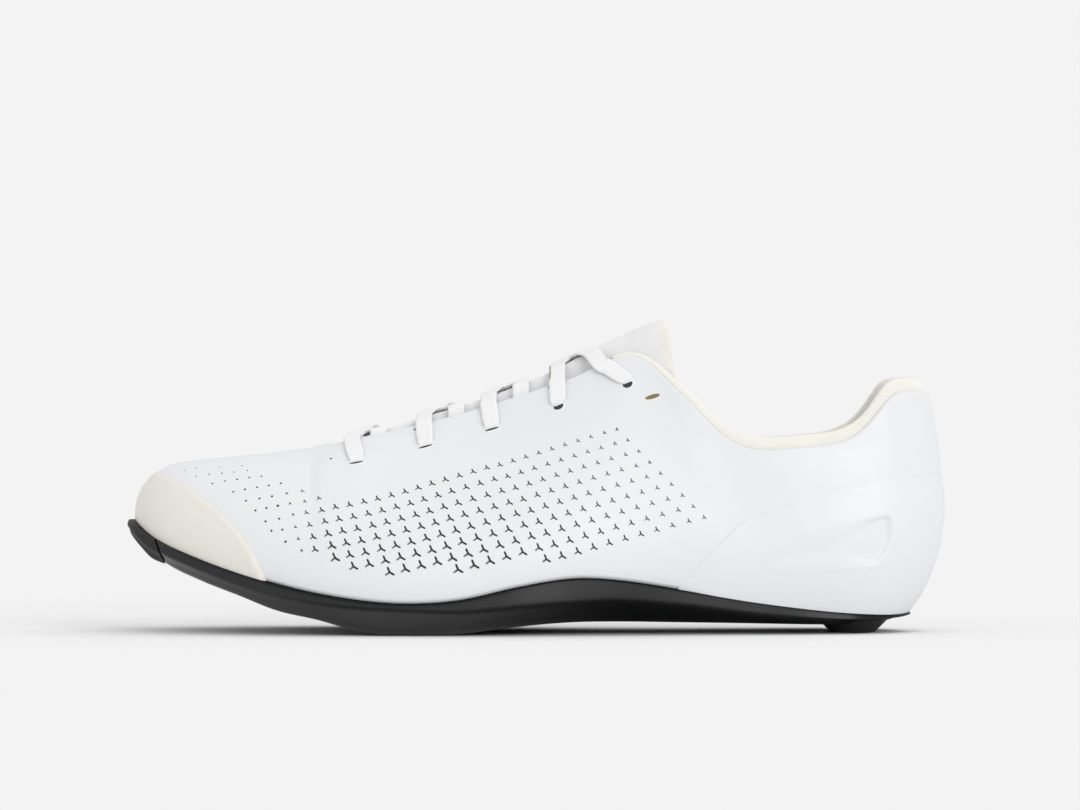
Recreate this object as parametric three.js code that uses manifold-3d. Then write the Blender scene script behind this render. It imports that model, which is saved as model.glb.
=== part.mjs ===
// A lace-up road cycling shoe for the left foot, in millimetres.
// The toe points to -X, the outer side of the foot to -Y, and the shoe stands on the plane z = 0 with
// the middle of its length and width at the origin.
import * as THREE from 'three';
import { mergeVertices } from 'three/addons/utils/BufferGeometryUtils.js';
import Module from 'manifold-3d';

const wasm = await Module();
wasm.setup();

// Driving sizes of the last
const SHOE_LENGTH = 290;
const BALL_WIDTH = 98;
const HEEL_WIDTH = 66;
const INSTEP_HEIGHT = 97;
const HEEL_HEIGHT = 84.5;
const TOE_SPRING_HEIGHT = 42;

// Walls, layers and clearances
const UPPER_WALL = 2;
const CLEARANCE = 0.3;
const CAP_THICKNESS = 1.1;
const COUNTER_THICKNESS = 1.3;
const COUNTER_FADE = 22;
const INSOLE_THICKNESS = 3;
const COLLAR_PAD = 4.4;
const COLLAR_ROLL = 5.9;
const COLLAR_CLEARANCE = 0.45;
const TONGUE_THICKNESS = 3.2;
const TONGUE_PAD = 3.2;
const TONGUE_ROOM = 2.4;
const TONGUE_CENTRE_DEPTH = 39;
const TONGUE_WING_WIDTH = 12;
const TONGUE_FREE_LENGTH = 15;
const BUMPER_PROUD = 0.4;
const GROOVE_WIDTH = 0.8;
const HEEL_PAD_LENGTH = 26;
const HEEL_PAD_WIDTH = 46;
const HEEL_PAD_CHAMFER = 5;
const SOLE_CORNER_WIDTH = 3.4;
const SOLE_CORNER_HEIGHT = 1.3;
const SIDE_RIDGE_PROUD = 0.5;
const SOCKET_DIAMETER = 8;
const SOCKET_DEPTH = 2.5;
const SOCKET_SPACING_ALONG = 32;
const SOCKET_SPACING_ACROSS = 36;
const EYELET_DIAMETER = 3.6;
const LACE_WIDTH = 6;
const LACE_THICKNESS = 1.3;

// Mesh fineness
const STEPS_PER_ROW = 3;
const RIB_STEPS = 9;
const EYELET_SIDES = 10;
const SOCKET_SIDES = 16;
const HEEL_PAD_SIDES = 28;
const MERGE_DISTANCE = 1e-4;
const HALVINGS = 40;
// Steps in rows and in shares of a rib over which directions on the last are measured
const EDGE_STEP = 0.05;
const SURFACE_STEP = 0.02;

/** Turns a line of column names and rows of values into a list of named records. */
function table(names, rows) {
  const keys = names.split(' ');
  return rows.map((row) => Object.fromEntries(keys.map((key, column) => [key, row[column]])));
}

// Ribs of the last from the toe to the top of the instep. Each rib climbs from the sole's edge (foot)
// to the ridge or the edge of the opening (crest). Places along the shoe are shares of its length,
// sideways sizes shares of the ball width and heights shares of the instep height.
const FORE_RIBS = table('foot outer inner crest height middle gap bulge lift roof drop rise', [
  [0.0114, -0.070, 0.070, 0.0621, 0.619, 0.055, 0.000, 0.008, 0.120, 0.070, 0.004, 0],
  [0.0224, 0.062, 0.205, 0.0690, 0.621, 0.052, 0.000, 0.010, 0.125, 0.085, 0.003, 0],
  [0.0517, 0.190, 0.312, 0.0862, 0.627, 0.048, 0.000, 0.016, 0.140, 0.125, 0.002, 0],
  [0.1034, 0.302, 0.393, 0.1172, 0.637, 0.040, 0.000, 0.026, 0.165, 0.175, 0.000, 0],
  [0.1690, 0.388, 0.443, 0.1690, 0.652, 0.030, 0.000, 0.032, 0.205, 0.215, 0.000, 0],
  [0.2379, 0.448, 0.467, 0.2379, 0.680, 0.020, 0.062, 0.034, 0.250, 0.205, 0.015, 0],
  [0.3138, 0.484, 0.463, 0.3138, 0.725, 0.014, 0.078, 0.033, 0.265, 0.165, 0.075, 0],
  [0.3897, 0.494, 0.438, 0.3897, 0.779, 0.008, 0.092, 0.032, 0.270, 0.145, 0.115, 0],
  [0.4655, 0.475, 0.390, 0.4655, 0.845, 0.004, 0.103, 0.034, 0.270, 0.130, 0.140, 0],
  [0.5414, 0.432, 0.335, 0.5414, 0.920, 0.000, 0.122, 0.040, 0.270, 0.118, 0.160, 0],
  [0.6172, 0.387, 0.298, 0.6172, 1.000, 0.000, 0.155, 0.050, 0.265, 0.100, 0.190, 0],
]);

// Ribs from the front of the collar to the back of the heel. Sideways sizes are shares of the heel
// width and heights shares of the heel height.
const HIND_RIBS = table('foot outer inner crest height middle gap bulge lift roof drop rise', [
  [0.6931, 0.515, 0.424, 0.6790, 0.977, 0.000, 0.386, 0.091, 0.280, 0.090, 0.270, 0.00],
  [0.7690, 0.470, 0.424, 0.7430, 0.777, 0.000, 0.450, 0.091, 0.240, 0.045, 0.240, 0.00],
  [0.8379, 0.432, 0.424, 0.8180, 0.764, 0.000, 0.447, 0.106, 0.240, 0.060, 0.240, 0.00],
  [0.8914, 0.371, 0.371, 0.8850, 0.812, 0.000, 0.396, 0.140, 0.250, 0.075, 0.270, 0.00],
  [0.9310, 0.235, 0.235, 0.9380, 0.985, 0.000, 0.272, 0.175, 0.240, 0.100, 0.370, 0.01],
  [0.9517, 0.000, 0.000, 0.9810, 1.000, 0.000, 0.000, 0.205, 0.190, 0.125, 0.400, 0.00],
]);

// Side view of the sole. Heights are shares of the toe spring: its top edge, the extra height of that
// edge on the arch side, the ridge along its side wall and its underside. The tuck is how far the
// underside stands in from the edge and the lip how far the edge stands out from the upper, in shares
// of the ball width.
const SOLE_LINES = table('at top arch ridge bottom tuck lip', [
  [0.000, 1.020, 0.000, 0.985, 0.960, 0.015, 0.033],
  [0.022, 0.880, 0.000, 0.830, 0.760, 0.022, 0.032],
  [0.045, 0.770, 0.010, 0.695, 0.576, 0.030, 0.030],
  [0.085, 0.650, 0.020, 0.570, 0.440, 0.040, 0.026],
  [0.134, 0.530, 0.022, 0.445, 0.318, 0.045, 0.023],
  [0.180, 0.437, 0.025, 0.350, 0.199, 0.050, 0.020],
  [0.230, 0.356, 0.030, 0.290, 0.126, 0.052, 0.015],
  [0.290, 0.290, 0.038, 0.250, 0.022, 0.052, 0.012],
  [0.350, 0.266, 0.050, 0.230, -0.020, 0.055, 0.012],
  [0.410, 0.296, 0.065, 0.217, 0.008, 0.068, 0.012],
  [0.480, 0.400, 0.080, 0.255, 0.062, 0.085, 0.012],
  [0.545, 0.462, 0.100, 0.282, 0.098, 0.095, 0.012],
  [0.600, 0.440, 0.120, 0.288, 0.104, 0.095, 0.012],
  [0.680, 0.350, 0.110, 0.238, 0.096, 0.080, 0.018],
  [0.760, 0.262, 0.070, 0.170, 0.086, 0.062, 0.018],
  [0.840, 0.196, 0.030, 0.128, 0.075, 0.050, 0.018],
  [0.900, 0.164, 0.010, 0.120, 0.073, 0.040, 0.018],
  [0.940, 0.160, 0.000, 0.135, 0.095, 0.030, 0.018],
  [0.970, 0.196, 0.000, 0.180, 0.160, 0.020, 0.018],
]);

// Eyelets from the toe up: place along the shoe and height, in shares of length and instep height
const EYELETS = table('at height', [
  [0.2783, 0.625],
  [0.3641, 0.684],
  [0.4448, 0.749],
  [0.5276, 0.832],
  [0.6121, 0.914],
  [0.6434, 0.866],
]);
const LACED_EYELETS = 5;
// The way of a lace: shares of its climb from the eyelet to the throat's edge, places across the throat
// in half gaps, and the share of the distance to the next eyelet that it covers on this way
const LACE_CLIMB = [0, 0.5, 0.96];
const LACE_CROSS = [-0.86, -0.5, 0, 0.35, 0.56];
const LACE_COVERED_SHARE = 0.9;

// The tongue inside the shoe: rib row, height of its middle over the edges of the throat in shares of
// the instep height and its padding in shares of the tongue's pad
const TONGUE_ROWS = table('row crown pad', [
  [5.05, -0.038, 0.0],
  [5.60, -0.012, 0.0],
  [6.40, 0.002, 0.1],
  [7.20, 0.012, 0.2],
  [8.00, 0.020, 0.3],
  [8.70, 0.056, 0.5],
  [9.30, 0.090, 0.7],
  [9.80, 0.102, 0.9],
]);
// The free end of the tongue: shift along the shoe and up in shares of the tongue's free length, the
// lag of its middle behind its sides in the same shares, width of its wings and extra width of its top
// in shares of its last width in the shoe, and padding left
const TONGUE_END = table('forward up lag wings spread pad', [
  [0.30, 0.13, 0.02, 0.96, 0.35, 1.00],
  [0.75, 0.28, 0.06, 0.89, 0.90, 1.00],
  [1.10, 0.34, 0.10, 0.86, 1.10, 0.55],
]);
const TONGUE_FLATNESS = 2.6;
const TONGUE_FLARE = 3;

// Front views of what the overlays cover, in shares of length and toe spring or heel height
const CAP_EDGE = table('at height', [
  [0.172, 0.45], [0.158, 0.66], [0.151, 0.77], [0.133, 0.89], [0.122, 0.98], [0.100, 1.11],
  [0.066, 1.26], [0.040, 1.325], [0.020, 1.37],
]);
const COUNTER_EDGE = table('at height', [
  [0.662, -0.10], [0.672, 0.10], [0.690, 0.20], [0.701, 0.285], [0.722, 0.375], [0.741, 0.432],
  [0.764, 0.497], [0.800, 0.540], [0.860, 0.575], [0.930, 0.605], [1.030, 0.640],
]);
const COUNTER_EDGE_SHARE = 0.3;
const WINDOW_EDGE = table('at height', [
  [0.785, 0.310], [0.822, 0.412], [0.861, 0.458], [0.899, 0.491], [0.921, 0.500], [0.928, 0.480],
  [0.928, 0.405], [0.917, 0.312], [0.880, 0.282], [0.820, 0.285],
]);

// Side view of the groove between toe bumper and plate, in shares of length and toe spring
const GROOVE_EDGE = table('at height', [
  [0.0025, 3.00], [0.0225, 1.02], [0.0560, 0.45], [0.0760, -1.00],
]);

// Section of the collar: steps down the rib from its top, depth inward in shares of the pad and
// height over the edge in shares of the roll
const COLLAR_SECTION = table('down depth over', [
  [0.0, -0.42, 0.08],
  [0.0, -0.56, 0.42],
  [0.0, -0.36, 0.80],
  [0.0, 0.16, 1.00],
  [0.0, 0.76, 0.84],
  [0.0, 1.00, 0.26],
  [1.0, 0.98, 0.00],
  [2.0, 0.50, 0.00],
  [2.5, 0.10, 0.00],
  [2.0, 0.00, 0.00],
  [1.0, 0.00, 0.00],
  [0.0, 0.00, 0.08],
]);

// Shares of its full pad and roll that the collar has at its front ends, and the rows it takes to grow
const COLLAR_END_PAD_SHARE = 0.3;
const COLLAR_END_ROLL_SHARE = 0.6;
const COLLAR_EASE_ROWS = 2;

// Middles of the heel pad and the cleat sockets, in shares of the length
const HEEL_PAD_SHARE = 0.888;
const SOCKETS_SHARE = 0.345;

const ROWS = FORE_RIBS.length + HIND_RIBS.length - 1;
const LOOP = 2 * ROWS;
const THROAT_ROW = 5;
const THROAT_ROUNDING = 0.7;
const COLLAR_START = FORE_RIBS.length - 1 - 1 / STEPS_PER_ROW;

const alongShoe = (share) => (share - 0.5) * SHOE_LENGTH;
const lerp = THREE.MathUtils.lerp;
const clamp = THREE.MathUtils.clamp;

/** Cubic through four neighbours a, b, c and d, at share t between b and c. */
function cubic(a, b, c, d, t) {
  const slopeB = (c - a) / 2;
  const slopeC = (d - b) / 2;
  const bend = 3 * (c - b) - 2 * slopeB - slopeC;
  const twist = 2 * (b - c) + slopeB + slopeC;
  return b + t * (slopeB + t * (bend + t * twist));
}

/** Value of a column of the sole's side view at a place x along the shoe. */
function soleLine(column, x) {
  const at = x / SHOE_LENGTH + 0.5;
  const last = SOLE_LINES.length - 1;
  let row = 0;
  while (row < last - 1 && SOLE_LINES[row + 1].at < at) {
    row += 1;
  }
  const low = SOLE_LINES[row];
  const high = SOLE_LINES[row + 1];
  const before = SOLE_LINES[Math.max(row - 1, 0)];
  const after = SOLE_LINES[Math.min(row + 2, last)];
  const span = high.at - low.at;
  const t = clamp((at - low.at) / span, 0, 1);
  const slopeLow = (high[column] - before[column]) / (high.at - before.at) * span;
  const slopeHigh = (after[column] - low[column]) / (after.at - low.at) * span;
  const rise = high[column] - low[column];
  const bend = 3 * rise - 2 * slopeLow - slopeHigh;
  return low[column] + t * (slopeLow + t * (bend + t * (slopeLow + slopeHigh - 2 * rise)));
}

/** Height of the sole's top face, where the upper and the insole stand. */
function soleTop(x, y) {
  const inward = clamp(y / BALL_WIDTH + 0.5, 0, 1);
  return TOE_SPRING_HEIGHT * (soleLine('top', x) + soleLine('arch', x) * inward);
}

/** One row of the rib tables as real sizes, on the outer (side -1) or inner (side 1) half. */
function ribRow(record, width, height, side) {
  const half = side < 0 ? record.outer : record.inner;
  return {
    footX: alongShoe(record.foot),
    footY: side * half * width,
    crestX: alongShoe(record.crest),
    crestZ: height * (record.height + (side > 0 ? record.rise : 0)),
    middle: record.middle * width,
    gap: side * record.gap * width,
    bulge: record.bulge * width,
    lift: record.lift * height,
    roof: record.roof * width,
    drop: record.drop * height,
  };
}

/** All the rib rows round the shoe: toe, outer side, heel and back along the inner side. */
function ribLoop() {
  const sideRows = (side) => [
    ...FORE_RIBS.map((record) => ribRow(record, BALL_WIDTH, INSTEP_HEIGHT, side)),
    ...HIND_RIBS.map((record) => ribRow(record, HEEL_WIDTH, HEEL_HEIGHT, side)),
  ];
  return [...sideRows(-1), ...sideRows(1).slice(1, -1).reverse()];
}

const RIBS = ribLoop();

/** Value of a column of the rib rows at a place k round the shoe, from 0 to LOOP. */
function ribValue(column, k) {
  const wrapped = ((k % LOOP) + LOOP) % LOOP;
  const row = Math.floor(wrapped);
  const at = (step) => RIBS[(row + step + LOOP) % LOOP][column];
  return cubic(at(-1), at(0), at(1), at(2), wrapped - row);
}

/** Distance round the shoe from the toe, the same on both sides, in rows. */
const rowFromToe = (k) => Math.min(((k % LOOP) + LOOP) % LOOP, LOOP - ((k % LOOP) + LOOP) % LOOP);

/** Level outward direction of the sole's edge at a place round the shoe. */
function outward(k) {
  const dx = ribValue('footX', k + EDGE_STEP) - ribValue('footX', k - EDGE_STEP);
  const dy = ribValue('footY', k + EDGE_STEP) - ribValue('footY', k - EDGE_STEP);
  return new THREE.Vector3(dy, -dx, 0).normalize();
}

/** The foot of the rib, on the sole's top edge. */
function ribFoot(k) {
  const x = ribValue('footX', k);
  const y = ribValue('footY', k);
  return new THREE.Vector3(x, y, soleTop(x, y) + CLEARANCE);
}

/** The crest of the rib: on the ridge before the throat, on the opening's edge behind it. */
function ribCrest(k) {
  const opening = clamp((rowFromToe(k) - THROAT_ROW) / THROAT_ROUNDING, 0, 1);
  const y = ribValue('middle', k) + ribValue('gap', k) * Math.sqrt(opening);
  return new THREE.Vector3(ribValue('crestX', k), y, ribValue('crestZ', k));
}

/** The four control points of the rib at a place round the shoe. */
function ribHandles(k) {
  const foot = ribFoot(k);
  const crest = ribCrest(k);
  const out = outward(k);
  const low = foot.clone().addScaledVector(out, ribValue('bulge', k));
  low.z += ribValue('lift', k);
  const high = crest.clone().addScaledVector(out, ribValue('roof', k));
  high.z -= ribValue('drop', k);
  return [foot, low, high, crest];
}

/** Point of the last's surface: k round the shoe, v up the rib from 0 to 1. */
function lastPoint(k, v) {
  const [foot, low, high, crest] = ribHandles(k);
  return new THREE.CubicBezierCurve3(foot, low, high, crest).getPoint(v);
}

/** Outward normal of the last's surface on one side of the ridge. */
function sideNormal(k, v) {
  const [below, above] = [Math.max(v - SURFACE_STEP, 0), Math.min(v + SURFACE_STEP, 1)];
  const along = lastPoint(k + SURFACE_STEP, v).sub(lastPoint(k - SURFACE_STEP, v));
  const up = lastPoint(k, above).sub(lastPoint(k, below));
  return along.cross(up).normalize();
}

/** Outward normal of the last's surface. The two sides share one normal along the closed ridge. */
function lastNormal(k, v) {
  const normal = sideNormal(k, v);
  if (v < 1 || rowFromToe(k) > THROAT_ROW) {
    return normal;
  }
  return normal.add(sideNormal(LOOP - k, v)).normalize();
}

/** Point at a distance outside the last's surface. */
function offsetPoint(k, v, distance) {
  return lastPoint(k, v).addScaledVector(lastNormal(k, v), distance);
}

const STATIONS = LOOP * STEPS_PER_ROW;
const stationPlace = (station) => station / STEPS_PER_ROW;
const mirrorStation = (station) => (STATIONS - station) % STATIONS;

/** Collects triangles, leaves out those without area and gives a closed solid back. */
class Skin {
  constructor() {
    this.corners = [];
  }

  triangle(a, b, c) {
    const same = (p, q) => p.distanceTo(q) < MERGE_DISTANCE;
    if (!same(a, b) && !same(b, c) && !same(c, a)) {
      this.corners.push(a, b, c);
    }
  }

  quad(a, b, c, d) {
    this.triangle(a, b, c);
    this.triangle(a, c, d);
  }

  geometry() {
    const raw = new THREE.BufferGeometry().setFromPoints(this.corners);
    return mergeVertices(raw, MERGE_DISTANCE);
  }

  solid() {
    return toSolid(this.geometry());
  }
}

/** Makes a manifold solid from a closed geometry. */
function toSolid(geometry) {
  const bare = geometry.clone();
  bare.deleteAttribute('normal');
  bare.deleteAttribute('uv');
  const merged = mergeVertices(bare, MERGE_DISTANCE);
  const vertProperties = new Float32Array(merged.attributes.position.array);
  const triVerts = new Uint32Array(merged.index.array);
  return new wasm.Manifold(new wasm.Mesh({ numProp: 3, vertProperties, triVerts }));
}

/** Makes a geometry from a manifold solid. */
function toGeometry(solid) {
  const mesh = solid.getMesh();
  const geometry = new THREE.BufferGeometry();
  geometry.setAttribute('position', new THREE.BufferAttribute(mesh.vertProperties, 3));
  geometry.setIndex(new THREE.BufferAttribute(mesh.triVerts, 1));
  geometry.computeVertexNormals();
  return geometry;
}

/** Joins stacked rings round the shoe, lowest first, and closes them below and above. */
function stackRings(rings) {
  const skin = new Skin();
  for (let level = 0; level + 1 < rings.length; level += 1) {
    for (let station = 0; station < STATIONS; station += 1) {
      const next = (station + 1) % STATIONS;
      const [low, high] = [rings[level], rings[level + 1]];
      skin.quad(low[station], low[next], high[next], high[station]);
    }
  }
  const [bottom, top] = [rings[0], rings[rings.length - 1]];
  for (let station = 0; station < STATIONS / 2; station += 1) {
    const across = mirrorStation(station);
    const acrossNext = mirrorStation(station + 1);
    skin.quad(bottom[station + 1], bottom[station], bottom[across], bottom[acrossNext]);
    skin.quad(top[station], top[station + 1], top[acrossNext], top[across]);
  }
  return skin.solid();
}

/** A ring round the shoe from a function of the place k. */
function ring(pointAt) {
  return Array.from({ length: STATIONS }, (_, station) => pointAt(stationPlace(station)));
}

/** The whole last, grown by a distance at each height: the form that overlays are cut from. */
function lastForm(distanceAt) {
  const grown = (k, v) => offsetPoint(k, v, distanceAt(lastPoint(k, v).z));
  const rings = [ring((k) => {
    const foot = grown(k, 0);
    foot.z -= CLEARANCE;
    return foot;
  })];
  for (let step = 0; step <= RIB_STEPS; step += 1) {
    rings.push(ring((k) => grown(k, step / RIB_STEPS)));
  }
  return stackRings(rings);
}

/** The upper: the last's surface and the same surface one wall inside, joined round its edges. */
function upperShell() {
  const skin = new Skin();
  const grids = [0, -UPPER_WALL].map((distance) => Array.from({ length: RIB_STEPS + 1 },
    (_, step) => ring((k) => offsetPoint(k, step / RIB_STEPS, distance))));
  const [outer, inner] = grids;
  for (let step = 0; step < RIB_STEPS; step += 1) {
    for (let station = 0; station < STATIONS; station += 1) {
      const next = (station + 1) % STATIONS;
      skin.quad(outer[step][station], outer[step][next], outer[step + 1][next], outer[step + 1][station]);
      skin.quad(inner[step][next], inner[step][station], inner[step + 1][station], inner[step + 1][next]);
    }
  }
  const throat = THROAT_ROW * STEPS_PER_ROW;
  for (let station = 0; station < STATIONS; station += 1) {
    const next = (station + 1) % STATIONS;
    skin.quad(outer[0][next], outer[0][station], inner[0][station], inner[0][next]);
    if (station >= throat && station < STATIONS - throat) {
      const [outerTop, innerTop] = [outer[RIB_STEPS], inner[RIB_STEPS]];
      skin.quad(outerTop[station], outerTop[next], innerTop[next], innerTop[station]);
    }
  }
  return skin.solid();
}

/** Points of an edge table as side view points, with heights in shares of a size. */
const edgePoints = (edge, size) => edge.map(({ at, height }) => [alongShoe(at), height * size]);

/** A prism right across the shoe, over an outline of side view points. */
function crossPrism(points, reach = BALL_WIDTH) {
  const shape = new THREE.Shape(points.map(([x, z]) => new THREE.Vector2(x, z)));
  const geometry = new THREE.ExtrudeGeometry(shape, { depth: 2 * reach, bevelEnabled: false });
  geometry.rotateX(Math.PI / 2);
  geometry.translate(0, reach, 0);
  return toSolid(geometry);
}

/** Place k on a side (-1 outer, 1 inner) where the crest line passes x. */
function placeAt(x, side) {
  let low = 0;
  let high = ROWS;
  for (let turn = 0; turn < HALVINGS; turn += 1) {
    const middle = (low + high) / 2;
    if (ribValue('crestX', middle) < x) {
      low = middle;
    } else {
      high = middle;
    }
  }
  return side < 0 ? low : LOOP - low;
}

/** Share up the rib at k where a rising measure of the surface reaches a value. */
function shareWhere(k, measure, value) {
  let low = 0;
  let high = 1;
  for (let turn = 0; turn < HALVINGS; turn += 1) {
    const middle = (low + high) / 2;
    if (measure(lastPoint(k, middle)) < value) {
      low = middle;
    } else {
      high = middle;
    }
  }
  return low;
}

/** Place on the surface of an eyelet on one side. */
function eyeletPlace(eyelet, side) {
  const k = placeAt(alongShoe(eyelet.at), side);
  const v = shareWhere(k, (point) => point.z, eyelet.height * INSTEP_HEIGHT);
  return { k, v, point: lastPoint(k, v), normal: lastNormal(k, v) };
}

/** A round pin through the wall at an eyelet. */
function eyeletPin({ point, normal }) {
  const radius = EYELET_DIAMETER / 2;
  const pin = new THREE.CylinderGeometry(radius, radius, 4 * UPPER_WALL, EYELET_SIDES);
  pin.applyQuaternion(new THREE.Quaternion().setFromUnitVectors(new THREE.Vector3(0, 1, 0), normal));
  pin.translate(point.x, point.y, point.z);
  return toSolid(pin);
}

function makeUpper() {
  let upper = upperShell();
  for (const eyelet of EYELETS) {
    for (const side of [-1, 1]) {
      upper = upper.subtract(eyeletPin(eyeletPlace(eyelet, side)));
    }
  }
  return upper;
}

/** The sole's rings from its underside to its top edge, grown outward and upward. */
function soleRings(grow, rise = grow) {
  const edge = (k, inset, height) => {
    const foot = ribFoot(k);
    const lip = soleLine('lip', foot.x) * BALL_WIDTH;
    const place = foot.clone().addScaledVector(outward(k), lip - inset + grow);
    place.z = height(foot);
    return place;
  };
  const tuck = (k) => soleLine('tuck', ribFoot(k).x) * BALL_WIDTH;
  const under = (foot) => Math.max(0, TOE_SPRING_HEIGHT * soleLine('bottom', foot.x));
  const ridge = (foot) => {
    const share = soleLine('arch', foot.x) * clamp(foot.y / BALL_WIDTH + 0.5, 0, 1);
    return TOE_SPRING_HEIGHT * (soleLine('ridge', foot.x) + share);
  };
  return [
    ring((k) => edge(k, tuck(k) + SOLE_CORNER_WIDTH, (foot) => under(foot) - grow)),
    ring((k) => edge(k, tuck(k), (foot) => under(foot) + SOLE_CORNER_HEIGHT - grow)),
    ring((k) => edge(k, -SIDE_RIDGE_PROUD, ridge)),
    ring((k) => edge(k, 0, (foot) => soleTop(foot.x, foot.y) + rise)),
  ];
}

/** What lies in front of (side -1) or behind (side 1) the groove between toe bumper and plate. */
function grooveSide(side, gap) {
  const far = side * SHOE_LENGTH;
  const shift = side * gap / 2;
  const edge = edgePoints(GROOVE_EDGE, TOE_SPRING_HEIGHT).map(([x, z]) => [x + shift, z]);
  return crossPrism([...edge, [far, edge[edge.length - 1][1]], [far, edge[0][1]]]);
}

/** The three blind sockets under the ball of the foot where a pedal cleat is bolted. */
function cleatSockets() {
  const middle = alongShoe(SOCKETS_SHARE);
  const places = [
    [middle - SOCKET_SPACING_ALONG / 2, 0],
    [middle + SOCKET_SPACING_ALONG / 2, -SOCKET_SPACING_ACROSS / 2],
    [middle + SOCKET_SPACING_ALONG / 2, SOCKET_SPACING_ACROSS / 2],
  ];
  const radius = SOCKET_DIAMETER / 2;
  return places.map(([x, y]) => {
    const pin = new THREE.CylinderGeometry(radius, radius, 2 * SOCKET_DEPTH, SOCKET_SIDES);
    pin.rotateX(Math.PI / 2);
    pin.translate(x, y, TOE_SPRING_HEIGHT * Math.max(0, soleLine('bottom', x)));
    return toSolid(pin);
  });
}

function makeSole() {
  let sole = stackRings(soleRings(0)).intersect(grooveSide(1, GROOVE_WIDTH));
  for (const socket of cleatSockets()) {
    sole = sole.subtract(socket);
  }
  return sole;
}

function makeToeBumper() {
  return stackRings(soleRings(BUMPER_PROUD, 0)).intersect(grooveSide(-1, 0));
}

/** The rubber pad under the heel, seated on the plate's underside. */
function makeHeelPad() {
  const skin = new Skin();
  const middle = alongShoe(HEEL_PAD_SHARE);
  const level = (length, width, z) => Array.from({ length: HEEL_PAD_SIDES }, (_, index) => {
    const angle = index / HEEL_PAD_SIDES * 2 * Math.PI;
    return new THREE.Vector3(middle + length / 2 * Math.cos(angle), width / 2 * Math.sin(angle), z);
  });
  const rings = [
    level(HEEL_PAD_LENGTH - 2 * HEEL_PAD_CHAMFER, HEEL_PAD_WIDTH - 2 * HEEL_PAD_CHAMFER, 0),
    level(HEEL_PAD_LENGTH, HEEL_PAD_WIDTH, HEEL_PAD_CHAMFER),
  ];
  for (let index = 0; index < HEEL_PAD_SIDES; index += 1) {
    const next = (index + 1) % HEEL_PAD_SIDES;
    skin.quad(rings[0][index], rings[0][next], rings[1][next], rings[1][index]);
    if (index > 0 && index < HEEL_PAD_SIDES - 1) {
      skin.triangle(rings[0][0], rings[0][next], rings[0][index]);
      skin.triangle(rings[1][0], rings[1][index], rings[1][next]);
    }
  }
  return skin.solid().subtract(stackRings(soleRings(CLEARANCE)));
}

/** The footbed, one clearance inside the upper's wall and above the plate. */
function makeInsole() {
  const inset = UPPER_WALL + 2 * CLEARANCE;
  const level = (lift) => ring((k) => {
    const place = ribFoot(k).addScaledVector(outward(k), -inset);
    place.z = soleTop(place.x, place.y) + CLEARANCE + lift;
    return place;
  });
  return stackRings([level(0), level(INSOLE_THICKNESS)]);
}

function makeToeCap() {
  const form = lastForm(() => CLEARANCE + CAP_THICKNESS).subtract(lastForm(() => CLEARANCE));
  const edge = edgePoints(CAP_EDGE, TOE_SPRING_HEIGHT);
  const front = [[-SHOE_LENGTH, edge[edge.length - 1][1]], [-SHOE_LENGTH, edge[0][1]]];
  const region = crossPrism([...edge, ...front]);
  return form.intersect(region).subtract(stackRings(soleRings(BUMPER_PROUD + CLEARANCE, CLEARANCE)));
}

/** The heel counter: full at its foot, it thins out towards its top edge. */
function makeHeelCounter() {
  const edge = edgePoints(COUNTER_EDGE, HEEL_HEIGHT);
  const top = edge[edge.length - 1][1];
  const thickness = (z) => COUNTER_THICKNESS * clamp(
    (top - z) / COUNTER_FADE, COUNTER_EDGE_SHARE, 1);
  const outer = lastForm((z) => CLEARANCE + thickness(z));
  const form = outer.subtract(lastForm(() => CLEARANCE));
  const back = [[SHOE_LENGTH, top], [SHOE_LENGTH, edge[0][1]]];
  const region = crossPrism([...edge, ...back]);
  const window = crossPrism(edgePoints(WINDOW_EDGE, HEEL_HEIGHT));
  const seat = stackRings(soleRings(BUMPER_PROUD + CLEARANCE, CLEARANCE));
  return form.intersect(region).subtract(window).subtract(seat);
}

/** Lofts closed sections of equal length and closes both ends. */
function loft(sections, flat) {
  const skin = new Skin();
  const count = sections[0].length;
  for (let index = 0; index + 1 < sections.length; index += 1) {
    for (let side = 0; side < count; side += 1) {
      const next = (side + 1) % count;
      const [here, there] = [sections[index], sections[index + 1]];
      skin.quad(here[side], there[side], there[next], here[next]);
    }
  }
  const [first, last] = [sections[0], sections[sections.length - 1]];
  const turn = THREE.ShapeUtils.isClockWise(flat);
  for (const [a, b, c] of THREE.ShapeUtils.triangulateShape(flat, [])) {
    const sameTurn = THREE.ShapeUtils.isClockWise([flat[a], flat[b], flat[c]]) === turn;
    const [p, q] = sameTurn ? [b, c] : [c, b];
    skin.triangle(first[a], first[p], first[q]);
    skin.triangle(last[q], last[p], last[a]);
  }
  return skin.solid();
}

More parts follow.
